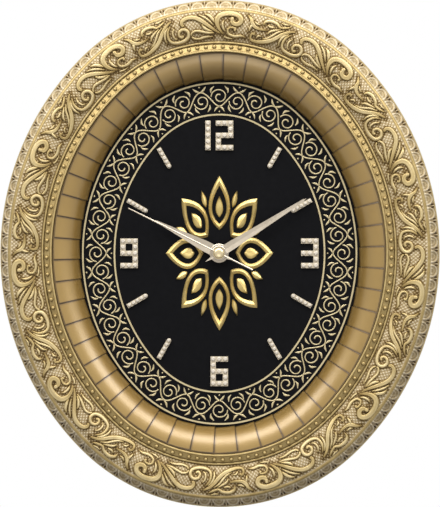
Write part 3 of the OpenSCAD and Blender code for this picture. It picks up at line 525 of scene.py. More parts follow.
def bronze_gold():
    """Bronze paint under a satin clear coat, dark in the seams, with painted shade towards the dial."""
    finish = Finish("bronze_gold", metal=0.3)
    finish.shader.inputs["Coat Weight"].default_value = 1.0
    finish.shader.inputs["Coat Roughness"].default_value = 0.28
    drift = finish.math("MULTIPLY", finish.math("SUBTRACT", finish.noise(35.0), 0.5), 0.3)
    depth = finish.math("ADD", finish.wash_and_shade(), drift)
    finish.colour(finish.ramp(depth, [(0.0, (148, 118, 54)), (0.2, (135, 105, 45)), (1.0, (43, 29, 12))]))
    finish.rough(finish.noise(260.0), 0.38, 0.46)
    finish.bump(finish.noise(700.0), 0.02)
    return finish.material


def black_board():
    """Matt black face on brown fibreboard, which shows at the edge and the back."""
    finish = Finish("black_board", rough=0.6, gloss=0.06)
    face = finish.math("LESS_THAN", finish.axis("Y"), -(DIAL_H - 0.2) * MM)
    fibre = finish.ramp(finish.noise(420.0, 8.0), [(0.3, (112, 84, 58)), (0.7, (146, 114, 82))])
    black = finish.ramp(finish.noise(240.0), [(0.3, (8, 8, 10)), (0.7, (12, 12, 14))])
    pick = finish.node("ShaderNodeMix", data_type="RGBA")
    finish.feed(face, pick.inputs["Factor"])
    finish.feed(fibre, pick.inputs["A"])
    finish.feed(black, pick.inputs["B"])
    finish.colour(pick.outputs["Result"])
    finish.bump(finish.noise(1500.0), 0.02)
    return finish.material


def plated(name, colour, rough, contrast=14, metal=1.0):
    """Plated metal with faint colour drift and micro scratches."""
    finish = Finish(name, metal=metal, rough=rough)
    dark = [max(c - contrast, 0) for c in colour]
    finish.colour(finish.ramp(finish.noise(120.0), [(0.3, dark), (0.7, colour)]))
    finish.rough(finish.noise(500.0), rough * 0.75, rough * 1.25)
    finish.bump(finish.noise(1600.0), 0.01)
    return finish.material


def moulded(name, colour, rough=0.45, contrast=8):
    """Moulded plastic or rubber with fine spark-eroded grain."""
    finish = Finish(name, rough=rough)
    dark = [max(c - contrast, 0) for c in colour]
    finish.colour(finish.ramp(finish.noise(300.0), [(0.35, dark), (0.65, colour)]))
    finish.rough(finish.noise(800.0), rough * 0.85, rough * 1.15)
    finish.bump(finish.noise(2600.0), 0.03)
    return finish.material


def cell_jacket():
    """Printed jacket with a bright band towards the button and bare steel at the ends."""
    finish = Finish("cell_jacket", metal=0.4, rough=0.32)
    low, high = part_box("battery")
    share = finish.math("DIVIDE", finish.math("SUBTRACT", finish.axis("X"), low.x), high.x - low.x)
    drift = finish.math("MULTIPLY", finish.math("SUBTRACT", finish.noise(400.0), 0.5), 0.004)
    bands = finish.ramp(finish.math("ADD", share, drift), [
        (0.0, (190, 190, 186)), (0.02, (34, 74, 52)), (0.72, (40, 84, 60)),
        (0.73, (196, 160, 84)), (0.96, (204, 168, 92)), (0.97, (190, 190, 186)),
    ])
    bands.node.color_ramp.interpolation = "CONSTANT"
    finish.colour(bands)
    return finish.material


MATERIALS = {
    "antique_gold": gilt("antique_gold", [
        (0.0, (206, 188, 145)), (0.3, (179, 157, 107)), (0.6, (129, 106, 61)), (1.0, (52, 37, 15)),
    ], 0.5),
    "worn_gilt": gilt("worn_gilt", [
        (0.0, (230, 216, 188)), (0.35, (186, 165, 124)), (0.65, (117, 92, 49)), (1.0, (50, 36, 13)),
    ], 0.05),
    "bronze_gold": bronze_gold(),
    "black_board": black_board(),
    "gold_foil": plated("gold_foil", (196, 180, 140), 0.4, metal=0.4),
    "gold_trim": plated("gold_trim", (204, 181, 120), 0.36, 24, metal=0.8),
    "tray_metal": plated("tray_metal", (202, 189, 165), 0.4, metal=0.3),
    "stone": moulded("stone", (218, 208, 192), 0.2),
    "hand_metal": plated("hand_metal", (178, 167, 150), 0.34, metal=0.9),
    "cap_metal": plated("cap_metal", (204, 188, 152), 0.34),
    "zinc_steel": plated("zinc_steel", (196, 196, 194), 0.36),
    "hanger_steel": plated("hanger_steel", (206, 190, 140), 0.36, 24),
    "black_abs": moulded("black_abs", (36, 36, 38), 0.5),
    "brass": plated("brass", (214, 178, 104), 0.3),
    "rubber": moulded("rubber", (30, 30, 30), 0.8),
    "cell_jacket": cell_jacket(),
    "board": moulded("board", (42, 96, 62), 0.4),
    "crystal_can": plated("crystal_can", (206, 206, 204), 0.25),
    "chip": moulded("chip", (24, 24, 26), 0.5),
    "core_iron": plated("core_iron", (150, 150, 156), 0.45),
    "bobbin": moulded("bobbin", (228, 226, 216), 0.5),
    "copper": plated("copper", (190, 110, 62), 0.35, 30),
    "magnet": plated("magnet", (104, 104, 110), 0.5),
    "acetal": moulded("acetal", (236, 234, 226), 0.4),
}


def dress_cad_nodes():
    """Gives every CAD node the material of its slot in the record."""
    for part in frame["record"]["subparts"]:
        mesh = frame["nodes"][part["node"]].data
        mesh.materials.clear()
        mesh.materials.append(MATERIALS[part["material_slot"]])


def frame_moulding():
    """Rim, ridge, bead channel and inside of the frame; the field and the scallops lie over it."""
    rim = [
        (SIDE_DRAFT, 0), (0, SIDE_H), (0, RIM_TOP_H), (RIM_ROUND_AT, SLOPE_FOOT_H - RIM_ROUND_DROP),
        (SLOPE_AT, SLOPE_FOOT_H),
    ]
    slope = [
        (SLOPE_AT + SCALLOP_BED, SLOPE_FOOT_H), (RIDGE_AT, SLOPE_TOP_H - SCALLOP_BED_DROP),
        (RIDGE_AT, SLOPE_TOP_H),
    ]
    ridge_end = FIELD_AT + RIDGE_LAP
    ridge = bulge_arc((RIDGE_AT, SLOPE_TOP_H), (ridge_end, RIDGE_H + RIDGE_RISE), RIDGE_BULGE, 8)
    field_foot = RIDGE_H - FIELD_DROP
    under_field = [(ridge_end + HAIR, RIDGE_H - FIELD_BED), (BAND_AT - HAIR, field_foot - FIELD_BED)]
    outer_h = LIP_H - BAND_TILT
    inner_h = LIP_H + BAND_TILT
    bed_from = BAND_AT + FILLET_W
    bed_to = LIP_AT - FILLET_W
    channel = [
        (bed_from, outer_h - BEAD_BED_DROP), (bed_from + BEAD_BED_EASE, outer_h - BEAD_BED_DROP + HAIR),
        (bed_to - BEAD_BED_EASE, inner_h - BEAD_BED_DROP - HAIR), (bed_to, inner_h - BEAD_BED_DROP),
    ]
    inside = [
        (LIP_AT, LIP_BACK_H), (INSIDE_AT, LIP_BACK_H), (SLOPE_AT + RIM_W, INSIDE_TOP_H),
        (SIDE_DRAFT + RIM_W, 0),
    ]
    fillet_patina = 0.3 + np.abs(np.linspace(-0.9, 0.9, 11)) ** 3
    parts = [
        (rim, [0.6, 0.4, 0.25, 0.1, 0.3]),
        (slope, [0.8, 0.8, 0.5]),
        (ridge, 0.4),
        (under_field, 1.0),
        (half_round(BAND_AT, outer_h, FILLET_W), fillet_patina),
        (channel, [0.7, 0.4, 0.4, 0.6]),
        (half_round(LIP_AT - FILLET_W, inner_h, FILLET_W), fillet_patina),
        (inside, [1.0, 1.0, 0.8, 0.7]),
    ]
    section = np.vstack([points for points, _ in parts])
    wash_and_shade = np.concatenate([np.broadcast_to(value, len(points)) for points, value in parts])
    shares = np.arange(STATIONS)[:, None] / STATIONS
    shape = Shape()
    points = on_oval(shares, section[:, 0], section[:, 1], FIELD_MID_AT)
    faces = grid_faces(STATIONS, len(section), wrap_rows=True, wrap_columns=True)
    shape.add(points, faces, np.tile(wash_and_shade, STATIONS))
    hanger_low, hanger_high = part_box("hanger_plate")
    hanger_y = ((hanger_low.z + hanger_high.z) / 2 - AXIS_Z) / MM
    plate_h = -hanger_low.y / MM
    boss = [
        (BOSS_R, LIP_BACK_H + BOSS_ROOT), (BOSS_R, plate_h + BOSS_EDGE), (BOSS_R - BOSS_EDGE, plate_h),
        (SCREW_R, plate_h),
    ]
    for x in (-HANGER_PITCH / 2, HANGER_PITCH / 2):
        lathe(shape, x, hanger_y, boss, wash_and_shade=0.6)
    return shape.piece("frame_moulding", "antique_gold", replaces=["outer_frame"])


def field_height(v):
    """Height of the field at v across it, from its outer edge."""
    t = v / FIELD_W
    return RIDGE_H - FIELD_DROP * t + 4 * FIELD_BULGE * t * (1 - t)


def saw(value):
    """Triangle wave from 0 to 1 with a period of 1."""
    return 1 - np.abs(2 * np.mod(value, 1.0) - 1)


MOTIF_L = oval_run(FIELD_MID_AT) / MOTIFS

# Scroll motif, clockwise and inwards from its start: points, half widths along the stroke, rise
SCROLL = [
    # Great volute and the ball at its end
    ([(36.5, 19.6), (33, 15.5), (31.3, 11.4), (31.8, 6.8), (35, 3.9), (40, 2.7), (45.5, 3.2), (49, 5.7),
      (49.6, 9), (47, 11.1), (43.8, 10.5), (42.6, 7.8)], [0.6, 1.3, 1.9, 2.1, 2.1, 1.9, 1.7, 1.6], 1.7),
    ([(41, 7.4), (44.6, 7.4)], [1.8, 1.8], 1.8),
    ([(36.6, 8.4), (35.6, 11.4), (36.2, 14.8), (38, 17.6)], [0.4, 0.9, 0.9, 0.4], 1.2),
    # Stem that springs from the curl, with two leaves above it and a tongue below
    ([(5, 11.4), (3.6, 8.8), (5.2, 5.9), (9, 4.6), (13.5, 5), (18, 7.5), (22, 10.8), (26, 14), (30, 16.8),
      (34, 18.9)], [1.0, 1.5, 1.7, 1.6, 1.4, 1.0, 0.6], 1.5),
    ([(29.5, 10.9), (27.5, 7.3), (25, 4.3), (21.5, 2.8)], [0.4, 1.2, 1.2, 0.5], 1.4),
    ([(28.5, 12.9), (25.5, 9.3), (21.5, 5.7), (17, 3.2)], [0.3, 0.8, 0.8, 0.4], 1.2),
    ([(19.3, 10.9), (20.3, 13.5), (23.5, 16), (28, 17.6)], [0.5, 1.1, 0.9, 0.4], 1.2),
    # Open leaf under the stem
    ([(9.6, 19.4), (10.2, 17.2), (14, 15.9), (19, 17.1), (24, 18.3), (29, 18.4)],
     [0.7, 0.9, 1.0, 0.9, 0.5], 1.3),
    ([(9.6, 19.4), (11.5, 21.4), (16, 22.2), (22, 21.2), (28, 21.2)], [0.7, 0.9, 1.0, 0.8, 0.4], 1.3),
    # Curl under the great volute
    ([(44.6, 16.4), (46.2, 15.4), (45, 14.2), (41.8, 14.1), (39.8, 16.2), (41, 19.3), (46, 20.7), (51, 19.8),
      (55, 20.5)], [0.9, 0.8, 0.8, 0.9, 1.0, 1.2, 1.0, 0.4], 1.4),
    ([(36.5, 21), (40, 22.3), (45, 22.6)], [0.6, 0.7, 0.3], 1.0),
    # Forked leaf
    ([(54, 2.1), (57.2, 5.3), (58.8, 8.8), (62, 11.3), (67, 11.8), (71.5, 11.2)],
     [0.4, 1.1, 1.5, 1.2, 0.9, 0.4], 1.5),
    ([(58.6, 9.8), (57.4, 13.2), (57.2, 15.8)], [0.9, 0.9, 0.4], 1.3),
    ([(59.8, 6.4), (62.6, 8.2), (65.4, 8.4)], [0.4, 0.8, 0.4], 1.1),
    # Eye-shaped leaf
    ([(67.3, 8.3), (68.2, 5.1), (72, 3.2), (77, 3.9), (80, 5.9), (84, 4.7), (88, 2.4)],
     [0.6, 1.2, 1.4, 1.2, 0.9, 0.9, 0.4], 1.5),
    ([(70.2, 7), (73, 8), (76.5, 7.2)], [0.5, 0.9, 0.5], 1.2),
    ([(79.5, 2.2), (83, 2.2), (86.5, 1)], [0.4, 0.7, 0.3], 1.0),
    # Long stem with its curl and the two blades beside it
    ([(62.5, 17.8), (61, 16.2), (59.3, 17.8), (59.8, 21), (64, 22), (70, 21), (76, 18.3), (80, 14.8),
      (83.2, 10.9), (87, 7.3), (92, 4.5)], [0.9, 0.9, 1.1, 1.4, 1.6, 1.6, 1.4, 1.1, 0.6], 1.5),
    ([(68.5, 19), (73, 17.3), (76.6, 13.8), (79.6, 10.2), (84.4, 6.9)], [0.3, 0.8, 0.9, 0.8, 0.3], 1.3),
    ([(72.2, 14.6), (73.4, 11.9), (76.8, 9.6), (81.3, 7.2)], [0.5, 0.9, 0.8, 0.4], 1.2),
    ([(63.8, 19.6), (65.6, 17.3), (68.4, 17)], [0.4, 0.8, 0.4], 1.0),
    # Small volute with its two blades
    ([(90, 8.3), (87, 12.4), (86.2, 17.1), (88, 20.8), (93, 22.3), (98.5, 21.9), (102.5, 19.6), (102.9, 15.6),
      (99.8, 13.1), (96.2, 14.2), (95.2, 17.1), (97, 18.9), (99.2, 17.5)],
     [0.5, 1.0, 1.1, 1.3, 1.4, 1.3, 1.2, 1.1, 1.0], 1.5),
    ([(88.5, 8.3), (85, 11.9), (83.4, 16.5), (83.8, 20.7)], [0.4, 0.9, 0.9, 0.4], 1.3),
    ([(92.8, 10.4), (90.6, 14), (91, 18.1), (93.5, 19.6)], [0.4, 0.8, 0.8, 0.4], 1.2),
]
# Widening of all strokes, their least distance from the field's edge, and the channel along the broad ones
SCROLL_SPREAD = 1.2
SCROLL_EDGE = 0.3
CHANNEL_HALF = 1.4
CHANNEL_DEPTH = 0.3


def scroll_distance(u, v):
    """Distance from points of one motif's patch to the nearest edge of a scroll stroke."""
    nearest = np.full(u.shape, np.inf)
    for points, halves, _ in SCROLL:
        for shift in (-MOTIF_L, 0, MOTIF_L):
            for pu, pv in smooth_path(points, step=1.2):
                away = np.hypot(u - pu - shift, v - pv) - SCROLL_SPREAD * np.mean(halves)
                nearest = np.minimum(nearest, away)
    return nearest


def frame_field():
    """Knurled ground of the scroll band, darkened beside the scrolls by painted shadow."""
    columns = KNURLS * 6
    rows = 44
    v = np.linspace(0, FIELD_W, rows)
    u = np.arange(columns) / columns * MOTIF_L
    u_grid, v_grid = np.meshgrid(u, v, indexing="ij")
    along = u_grid / MOTIF_L * KNURLS
    across = v_grid / KNURL_PITCH
    knurl = np.minimum(saw(along + across), saw(along - across))
    fade = np.clip(v_grid / FIELD_EDGE, 0, 1) * np.clip((FIELD_W - v_grid) / FIELD_EDGE, 0, 1)
    h = field_height(v_grid) + KNURL_DEPTH * (knurl - 1) * fade
    # Painted shadow: the ground darkens within SHADOW_W of a scroll's edge.
    beside = np.clip(1 - scroll_distance(u_grid, v_grid) / SHADOW_W, 0, 1)
    groove = np.clip(1 - (FIELD_W - v_grid) / GROOVE_W, 0, 1)
    ground_wash_and_shadow = KNURL_WASH * (1 - knurl) ** 1.5 * fade + SHADOW_WASH * beside * fade
    wash_and_shade = np.clip(ground_wash_and_shadow + GROOVE_WASH * groove, 0, 1)
    shares = (np.arange(columns * MOTIFS) / columns + MOTIF_START) / MOTIFS
    points = on_oval(shares[:, None], FIELD_AT + v, np.tile(h, (MOTIFS, 1)), FIELD_MID_AT)
    shape = Shape()
    shape.add(points, grid_faces(len(shares), rows, wrap_rows=True), np.tile(wash_and_shade, (MOTIFS, 1)))
    return shape.piece("frame_field", "worn_gilt", sharp=80)


def frame_scrolls():
    """Scrolling leaves in relief on the field."""
    shape = Shape()
    highest = FRONT_H - HAIR / 2
    for motif in range(MOTIFS):
        for points, halves, lift in SCROLL:
            u, v, rise = stroke(points, SCROLL_SPREAD * np.array(halves), lift)
            if max(halves) > CHANNEL_HALF:
                rise[:, rise.shape[1] // 2] *= 1 - CHANNEL_DEPTH
            share = (motif + MOTIF_START + u / MOTIF_L) / MOTIFS
            flat_v = np.clip(v, SCROLL_EDGE, FIELD_W - SCROLL_EDGE)
            h = np.minimum(field_height(flat_v) + rise, highest)
            # Dark wash at the strokes' feet and painted shade down their flanks, lightest on the crests.
            wash_and_shade = np.clip(SCROLL_WASH_AND_SHADE * (1 - rise / lift), CREST_WASH, SCROLL_WASH_AND_SHADE)
            shape.add(on_oval(share, FIELD_AT + flat_v, h, FIELD_MID_AT), grid_faces(*u.shape), wash_and_shade)
    return shape.piece("frame_scrolls", "antique_gold", sharp=70)


def mound(value, middle, half):
    """Smooth rise to 1 about a middle."""
    return np.clip(1 - ((value - middle) / half) ** 2, 0, 1)


def frame_scallops():
    """Row of double arches on the outer slope, with darts between them."""
    columns = 32
    rows = 28
    length = math.hypot(RIDGE_AT - SLOPE_AT, SLOPE_TOP_H - SLOPE_FOOT_H)
    pitch = oval_run((SLOPE_AT + RIDGE_AT) / 2) / SCALLOPS
    t = np.linspace(0, 1, rows)
    x, y = np.meshgrid((np.arange(columns) / columns - 0.5) * pitch, t * length, indexing="ij")
    level = np.hypot(x / (pitch * 0.44), (length - 1.5 - y) / (length - 3.0))
    arches = 0.9 * mound(level, 0.86, 0.18) + 0.4 * mound(level, 0.45, 0.2)
    darts = mound(np.abs(x), pitch * 0.5, pitch * 0.06) * mound(y, length * 0.2, length * 0.24)
    pits = mound(np.abs(x), pitch * 0.41, pitch * 0.07) * mound(y, length * 0.24, length * 0.22)
    fade = np.clip(np.minimum(y, length - y) / 1.2, 0, 1)
    height = (arches + 0.6 * darts - pits) * fade
    wash = np.clip(0.5 - 0.35 * arches - 0.5 * darts + 0.6 * pits, 0, 1)
    wash_and_shade = wash * np.clip((length - y) / 3, 0.5, 1)
    out = np.array([-(SLOPE_TOP_H - SLOPE_FOOT_H), RIDGE_AT - SLOPE_AT]) / length
    inset = SLOPE_AT + t * (RIDGE_AT - SLOPE_AT) + height * out[0]
    h = SLOPE_FOOT_H + t * (SLOPE_TOP_H - SLOPE_FOOT_H) + height * out[1]
    shares = np.arange(columns * SCALLOPS) / columns / SCALLOPS
    tiled = [np.tile(values, (SCALLOPS, 1)) for values in (inset, h, wash_and_shade)]
    shape = Shape()
    points = on_oval(shares[:, None], tiled[0], tiled[1], SLOPE_AT)
    shape.add(points, grid_faces(len(shares), rows, wrap_rows=True), tiled[2])
    return shape.piece("frame_scallops", "worn_gilt", sharp=80)


def frame_beads():
    """Pearl row in the channel."""
    shape = Shape()
    lean = np.linspace(0.06, math.pi * 0.6, 9)[::-1]
    profile = np.stack([BEAD_R * np.sin(lean), LIP_H + HAIR + BEAD_R * np.cos(lean)], axis=1)
    wash_and_shade = np.linspace(0.8, 0.25, len(lean))
    turns = oval_turn((np.arange(BEADS) + 0.5) / BEADS, BEAD_AT)
    for x, y in zip(*oval_xy(turns, BEAD_AT)):
        lathe(shape, x, y, profile, steps=14, wash_and_shade=wash_and_shade)
    return shape.piece("frame_beads", "antique_gold", sharp=80)


def cove_ring():
    """Ring of stepped panels from the bead band down to the dial, with its flange and posts."""
    t = np.array([0, 0.03, 0.06, 0.3, 0.6, 0.9, 0.955, 1.0])
    seam = np.array([0.7, 0.25, 0, 0, 0, 0, 0.3, 0.9])
    shares = ((np.arange(PANELS)[:, None] + FIRST_SEAM + t * (1 - SEAM_SHARE)) / PANELS).ravel()
    drop = np.tile(t * PANEL_STEP, PANELS)
    foot_at = DIAL_AT - 1.2 * COVE_T
    front = bulge_arc((COVE_AT, COVE_H), (DIAL_AT, DIAL_H), COVE_BULGE, 16)
    back = bulge_arc((COVE_AT - COVE_T, LIP_BACK_H), (foot_at, DIAL_H), COVE_BULGE, 9)[:2:-1]
    flange = [
        (POST_AT + POST_R, FLANGE_BACK_H), (FLANGE_AT, FLANGE_BACK_H), (FLANGE_AT, LIP_BACK_H),
        (LIP_AT + HAIR, LIP_BACK_H), (LIP_AT + HAIR, COVE_H - LEDGE_DROP), (COVE_AT, COVE_H - LEDGE_DROP),
    ]
    section = np.vstack([front, back - np.array(BACK_CLEARANCE), flange])
    section[len(front)] = (foot_at - PANEL_STEP, DIAL_H)
    way = np.zeros_like(section)
    way[: len(front)] = (0.6, 0.8)
    way[len(front) - 1] = (1.0, 0.0)
    inset = section[:, 0] - drop[:, None] * way[:, 0]
    h = section[:, 1] - drop[:, None] * way[:, 1]
    # Painted shade: the panels darken over the half of their width nearest the dial.
    down = np.clip(2 * (section[:, 0] - COVE_AT) / (DIAL_AT - COVE_AT) - 1, 0, 1)
    wash_and_shade = np.maximum(np.tile(seam, PANELS)[:, None], COVE_PAINTED_SHADE * down**1.5)
    wash_and_shade[:, -2:] = LEDGE_WASH
    shape = Shape()
    points = on_oval(shares[:, None], inset, h, DIAL_AT)
    shape.add(points, grid_faces(len(shares), len(section), wrap_rows=True, wrap_columns=True), wash_and_shade)
    post = [
        (POST_R, FLANGE_BACK_H + POST_ROOT), (POST_R, DIAL_BACK_H + POST_EDGE),
        (POST_R - POST_EDGE, DIAL_BACK_H), (SCREW_R, DIAL_BACK_H),
    ]
    for turn in np.radians((np.arange(POSTS) + 0.5) * 360 / POSTS):
        x, y = oval_xy(turn, POST_AT)
        lathe(shape, x, y, post)
    return shape.piece("cove_panels", "bronze_gold", sharp=28, replaces=["cove_ring"])


VINE_L = oval_run(VINE_MID_AT) / VINE_UNITS


def spiral(u, v, radius, start, turns, flip):
    """Points of a spiral that closes in on its middle."""
    t = np.linspace(0, 1, 22)
    angle = math.radians(start) + flip * turns * 2 * math.pi * t
    reach = radius * (1 - SPIRAL_CLOSE * t)
    return list(zip(u + reach * np.cos(angle), v + reach * np.sin(angle)))


def vine_unit():
    """Strokes of one unit: a waving stem, two spirals, their leaves and berries."""
    t = np.linspace(0, 1, 17)
    middle = VINE_W / 2
    stem = list(zip(t * VINE_L, middle + VINE_WAVE * np.cos(2 * math.pi * t)))
    strokes = [(stem, [0.6, 0.6])]
    for u, side in ((0.5 * VINE_L, 1), (VINE_L, -1)):
        v = middle + side * SPIRAL_OFF
        strokes.append((spiral(u, v, SPIRAL_R, 180, SPIRAL_TURNS, -side), [0.55, 0.6, 0.5, 0.7]))
        for lean in (-1, 1):
            strokes.append(([(u + lean * du, middle + side * dv) for du, dv in STEM_LEAF], LEAF_HALVES))
            strokes.append(([(u + lean * du, v + side * dv) for du, dv in SPIRAL_LEAF], LEAF_HALVES))
        tip = middle + side * STEM_LEAF[-1][1]
        strokes.append(([(u - BERRY_L / 2, tip), (u + BERRY_L / 2, tip)], [BERRY_R, BERRY_R]))
    return strokes


def dial_vine():
    """Gold vine printed in low relief on the dial."""
    shape = Shape()
    for unit in range(VINE_UNITS):
        for points, halves in vine_unit():
            u, v, rise = stroke(points, halves, VINE_LIFT, columns=5)
            share = (unit + u / VINE_L) / VINE_UNITS
            v = np.clip(v, VINE_EDGE, VINE_W - VINE_EDGE)
            shape.add(on_oval(share, VINE_AT + v, DIAL_H + rise, VINE_MID_AT), grid_faces(*u.shape))
    return shape.piece("dial_vine", "gold_foil", sharp=60)


def petal_side(foot, tip, half, steps=24):
    """Right side of a pointed petal along y, from foot to tip."""
    t = np.linspace(0, 1, steps)[:, None]
    length = tip - foot
    shoulder = (half * 1.5, foot + length * 0.3)
    neck = (half * 0.7, foot + length * 0.75)
    knots = np.array([(0, foot), shoulder, neck, (0, tip)])
    weights = np.hstack([(1 - t) ** 3, 3 * (1 - t) ** 2 * t, 3 * (1 - t) * t**2, t**3])
    return weights @ knots


def turned(points, turn):
    """Points turned clockwise, then stretched to the ornament's width and height."""
    x = points[..., 0] * math.cos(turn) + points[..., 1] * math.sin(turn)
    y = points[..., 1] * math.cos(turn) - points[..., 0] * math.sin(turn)
    return x * ORNAMENT_W / DRAWN_R, y * ORNAMENT_H / DRAWN_R


def leaf(shape, foot, tip, half, turn):
    """Leaf with a raised midrib."""
    side = petal_side(foot, tip, half)
    lean = np.linspace(-1, 1, 7)
    points = np.stack([np.outer(side[:, 0], lean), np.repeat(side[:, 1:], len(lean), axis=1)], axis=-1)
    rise = LEAF_EDGE_H + (ORNAMENT_T - LEAF_EDGE_H) * (1 - np.abs(lean)) * np.ones((len(side), 1))
    rise[:, [0, -1]] = 0
    x, y = turned(points, turn)
    shape.add(world(x, y, DIAL_H + rise), grid_faces(*rise.shape))


def centre_ornament():
    """Rosette of open petals with ribbed leaves."""
    scale = ORNAMENT_W / DRAWN_R
    root = ORNAMENT_HOLE / scale
    rim = PETAL_RIM / scale
    half = DRAWN_R * math.sin(math.pi / PETALS) * PETAL_SHARE
    shape = Shape()
    lean = np.linspace(0, 1, 7)
    rise = ORNAMENT_T * np.array([0, 0.4, 0.7, 1, 0.7, 0.4, 0])
    for i in range(PETALS):
        turn = i * 2 * math.pi / PETALS
        outer = petal_side(root, DRAWN_R, half)
        inner = petal_side(root + rim, DRAWN_R - rim * PETAL_POINT, half - rim)
        loops = [np.vstack([edge, (edge * [-1, 1])[-2:0:-1]]) for edge in (outer, inner)]
        points = loops[0][:, None] + (loops[1] - loops[0])[:, None] * lean[:, None]
        x, y = turned(points, turn)
        shape.add(world(x, y, DIAL_H + rise), grid_faces(len(points), len(lean), wrap_rows=True))
        leaf(shape, root + rim * 2, LEAF_TIP, half * LEAF_SHARE, turn)
        leaf(shape, BUD_FOOT, BUD_TIP, half * BUD_SHARE, turn + math.pi / PETALS)
    return shape.piece("centre_rosette", "gold_trim", sharp=25, replaces=["centre_ornament"])


def figure_stones():
    """Middle of every stone on the figures' trays."""
    places = []
    for node, side, rows in FIGURES:
        low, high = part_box(node)
        left = low.x / MM + STROKE_W / 2
        right = high.x / MM - STROKE_W / 2
        first_x = left if side == "left" else right - (len(rows[0]) - 1) * CELL
        first_y = (high.z - AXIS_Z) / MM - STROKE_W / 2
        for r, row in enumerate(rows):
            places += [(first_x + c * CELL, first_y - r * CELL) for c in range(len(row)) if row[c] == "1"]
    return places


def baton_stones():
    """Middle of every stone on the batons."""
    places = []
    for hour in BATON_HOURS:
        direction = math.radians(90 - 30 * hour)
        for i in range(BATON_STONES):
            reach = oval_reach(direction, BATON_AT) - (i + 0.5) * BATON_PITCH
            places.append((reach * math.cos(direction), reach * math.sin(direction)))
    return places


def rhinestones():
    """Round stones with a table and two rows of facets."""
    low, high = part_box("rhinestones")
    foot = -high.y / MM
    top = -low.y / MM
    shape = Shape()
    for places, diameter in ((figure_stones(), STONE_D), (baton_stones(), BATON_STONE_D)):
        half = diameter / 2
        rows = [
            (half, foot), (half, foot + STONE_GIRDLE), (half * STONE_FACET, foot + STONE_CROWN),
            (half * STONE_TABLE, top), (PIN_R, top),
        ]
        for x, y in places:
            lathe(shape, x, y, rows, steps=10)
    return shape.piece("stones", "stone", sharp=5, replaces=["rhinestones"])


def clock_points(x, y, h, angle):
    """World points of a hand drawn along y, turned to a clock angle in degrees."""
    a = math.radians(angle)
    return world(x * math.cos(a) + y * math.sin(a), y * math.cos(a) - x * math.sin(a), h)


def lance_hand(name, node, body, length, width, tip, angle, hub, bore):
    """Lance-shaped hand with a ridge along its middle and a flat hub."""
    foot = -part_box(node)[1].y / MM
    along = np.array([-HAND_TAIL, HAND_TAIL * 0.5, HAND_TAIL, length - tip, length])
    half = np.array([PIN_R, width / 2, width / 2, tip / 2, PIN_R])
    lean = np.array([-1, -1, 0, 1, 1])
    rise = HAND_T * np.array([0, 0.4, 1, 0.4, 0])
    points = clock_points(np.outer(half, lean), along[:, None], foot + rise, angle)
    disc = [
        (bore, foot), (hub / 2, foot), (hub / 2, foot + HUB_EDGE), (hub / 2 - HUB_EDGE, foot + HAND_T),
        (bore, foot + HAND_T), (bore, foot),
    ]
    shape = Shape()
    shape.add(points, grid_faces(len(along), len(lean), wrap_columns=True))
    lathe(shape, 0, 0, disc, steps=48)
    return shape.piece(name, "hand_metal", body, sharp=12, replaces=[node])


def second_hand():
    """Thin needle with a tail and a round boss."""
    low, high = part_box("second_hand")
    top = -low.y / MM
    back = -high.y / MM
    foot = top - HAND_T
    along = np.array(NEEDLE_ALONG)
    half = np.full(len(along), NEEDLE_HALF)
    half[-1] = NEEDLE_TIP_HALF
    lean = np.array([-1, -1, 0, 1, 1])
    rise = HAND_T * np.array([0, 0.5, 1, 0.5, 0])
    points = clock_points(np.outer(half, lean), along[:, None], foot + rise, NEEDLE_ANGLE)
    boss = [
        (NEEDLE_BORE_R, back), (NEEDLE_BOSS_R, back), (NEEDLE_BOSS_R, foot + NEEDLE_BOSS_EDGE_H),
        (NEEDLE_BOSS_TOP_R, top), (NEEDLE_BORE_R, top), (NEEDLE_BORE_R, back),
    ]
    shape = Shape()
    shape.add(points, grid_faces(len(along), len(lean), wrap_columns=True))
    lathe(shape, 0, 0, boss, steps=24)
    replaced = ["second_hand"]
    return shape.piece("second_needle", "hand_metal", "seconds", sharp=20, replaces=replaced)


def centre_cap():
    """Domed cap with a rolled edge."""
    low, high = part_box("centre_cap")
    radius = (high.x - low.x) / 2 / MM
    foot = -high.y / MM
    top = -low.y / MM
    edge = foot + CAP_EDGE
    lean = np.linspace(0.02, math.pi / 2, 12)[::-1]
    dome = [(radius * CAP_DOME * math.sin(a), edge + (top - edge) * math.cos(a)) for a in lean]
    shape = Shape()
    lathe(shape, 0, 0, [(PIN_R, foot), (radius, foot), (radius, edge)] + dome, steps=40)
    return shape.piece("domed_cap", "cap_metal", "seconds", replaces=["centre_cap"])


def soft_box(name, place, tilt, lean, size, power):
    """Oblong area light, tilted back from facing down and leaning to a side."""
    light = bpy.data.lights.new(name, "AREA")
    light.shape = "RECTANGLE"
    light.size, light.size_y = size
    light.energy = power
    obj = bpy.data.objects.new(name, light)
    obj.location = place
    obj.rotation_euler = (tilt, lean, 0)
    bpy.context.scene.collection.objects.link(obj)


def surround():
    """World that lights the object softly and looks white to the camera, in gloss and through glass."""
    backdrop = bpy.data.worlds.new("studio")
    backdrop.use_nodes = True
    bpy.context.scene.world = backdrop
    tree = backdrop.node_tree
    rays = tree.nodes.new("ShaderNodeLightPath")
    seen = rays.outputs["Is Camera Ray"]
    for kind in ("Is Glossy Ray", "Is Transmission Ray"):
        either = tree.nodes.new("ShaderNodeMath")
        either.operation = "MAXIMUM"
        tree.links.new(seen, either.inputs[0])
        tree.links.new(rays.outputs[kind], either.inputs[1])
        seen = either.outputs[0]
    strength = tree.nodes.new("ShaderNodeMapRange")
    strength.inputs["To Min"].default_value = AMBIENT
    tree.links.new(seen, strength.inputs["Value"])
    glow = tree.nodes["Background"]
    glow.inputs["Color"].default_value = (1, 1, 1, 1)
    tree.links.new(strength.outputs["Result"], glow.inputs["Strength"])


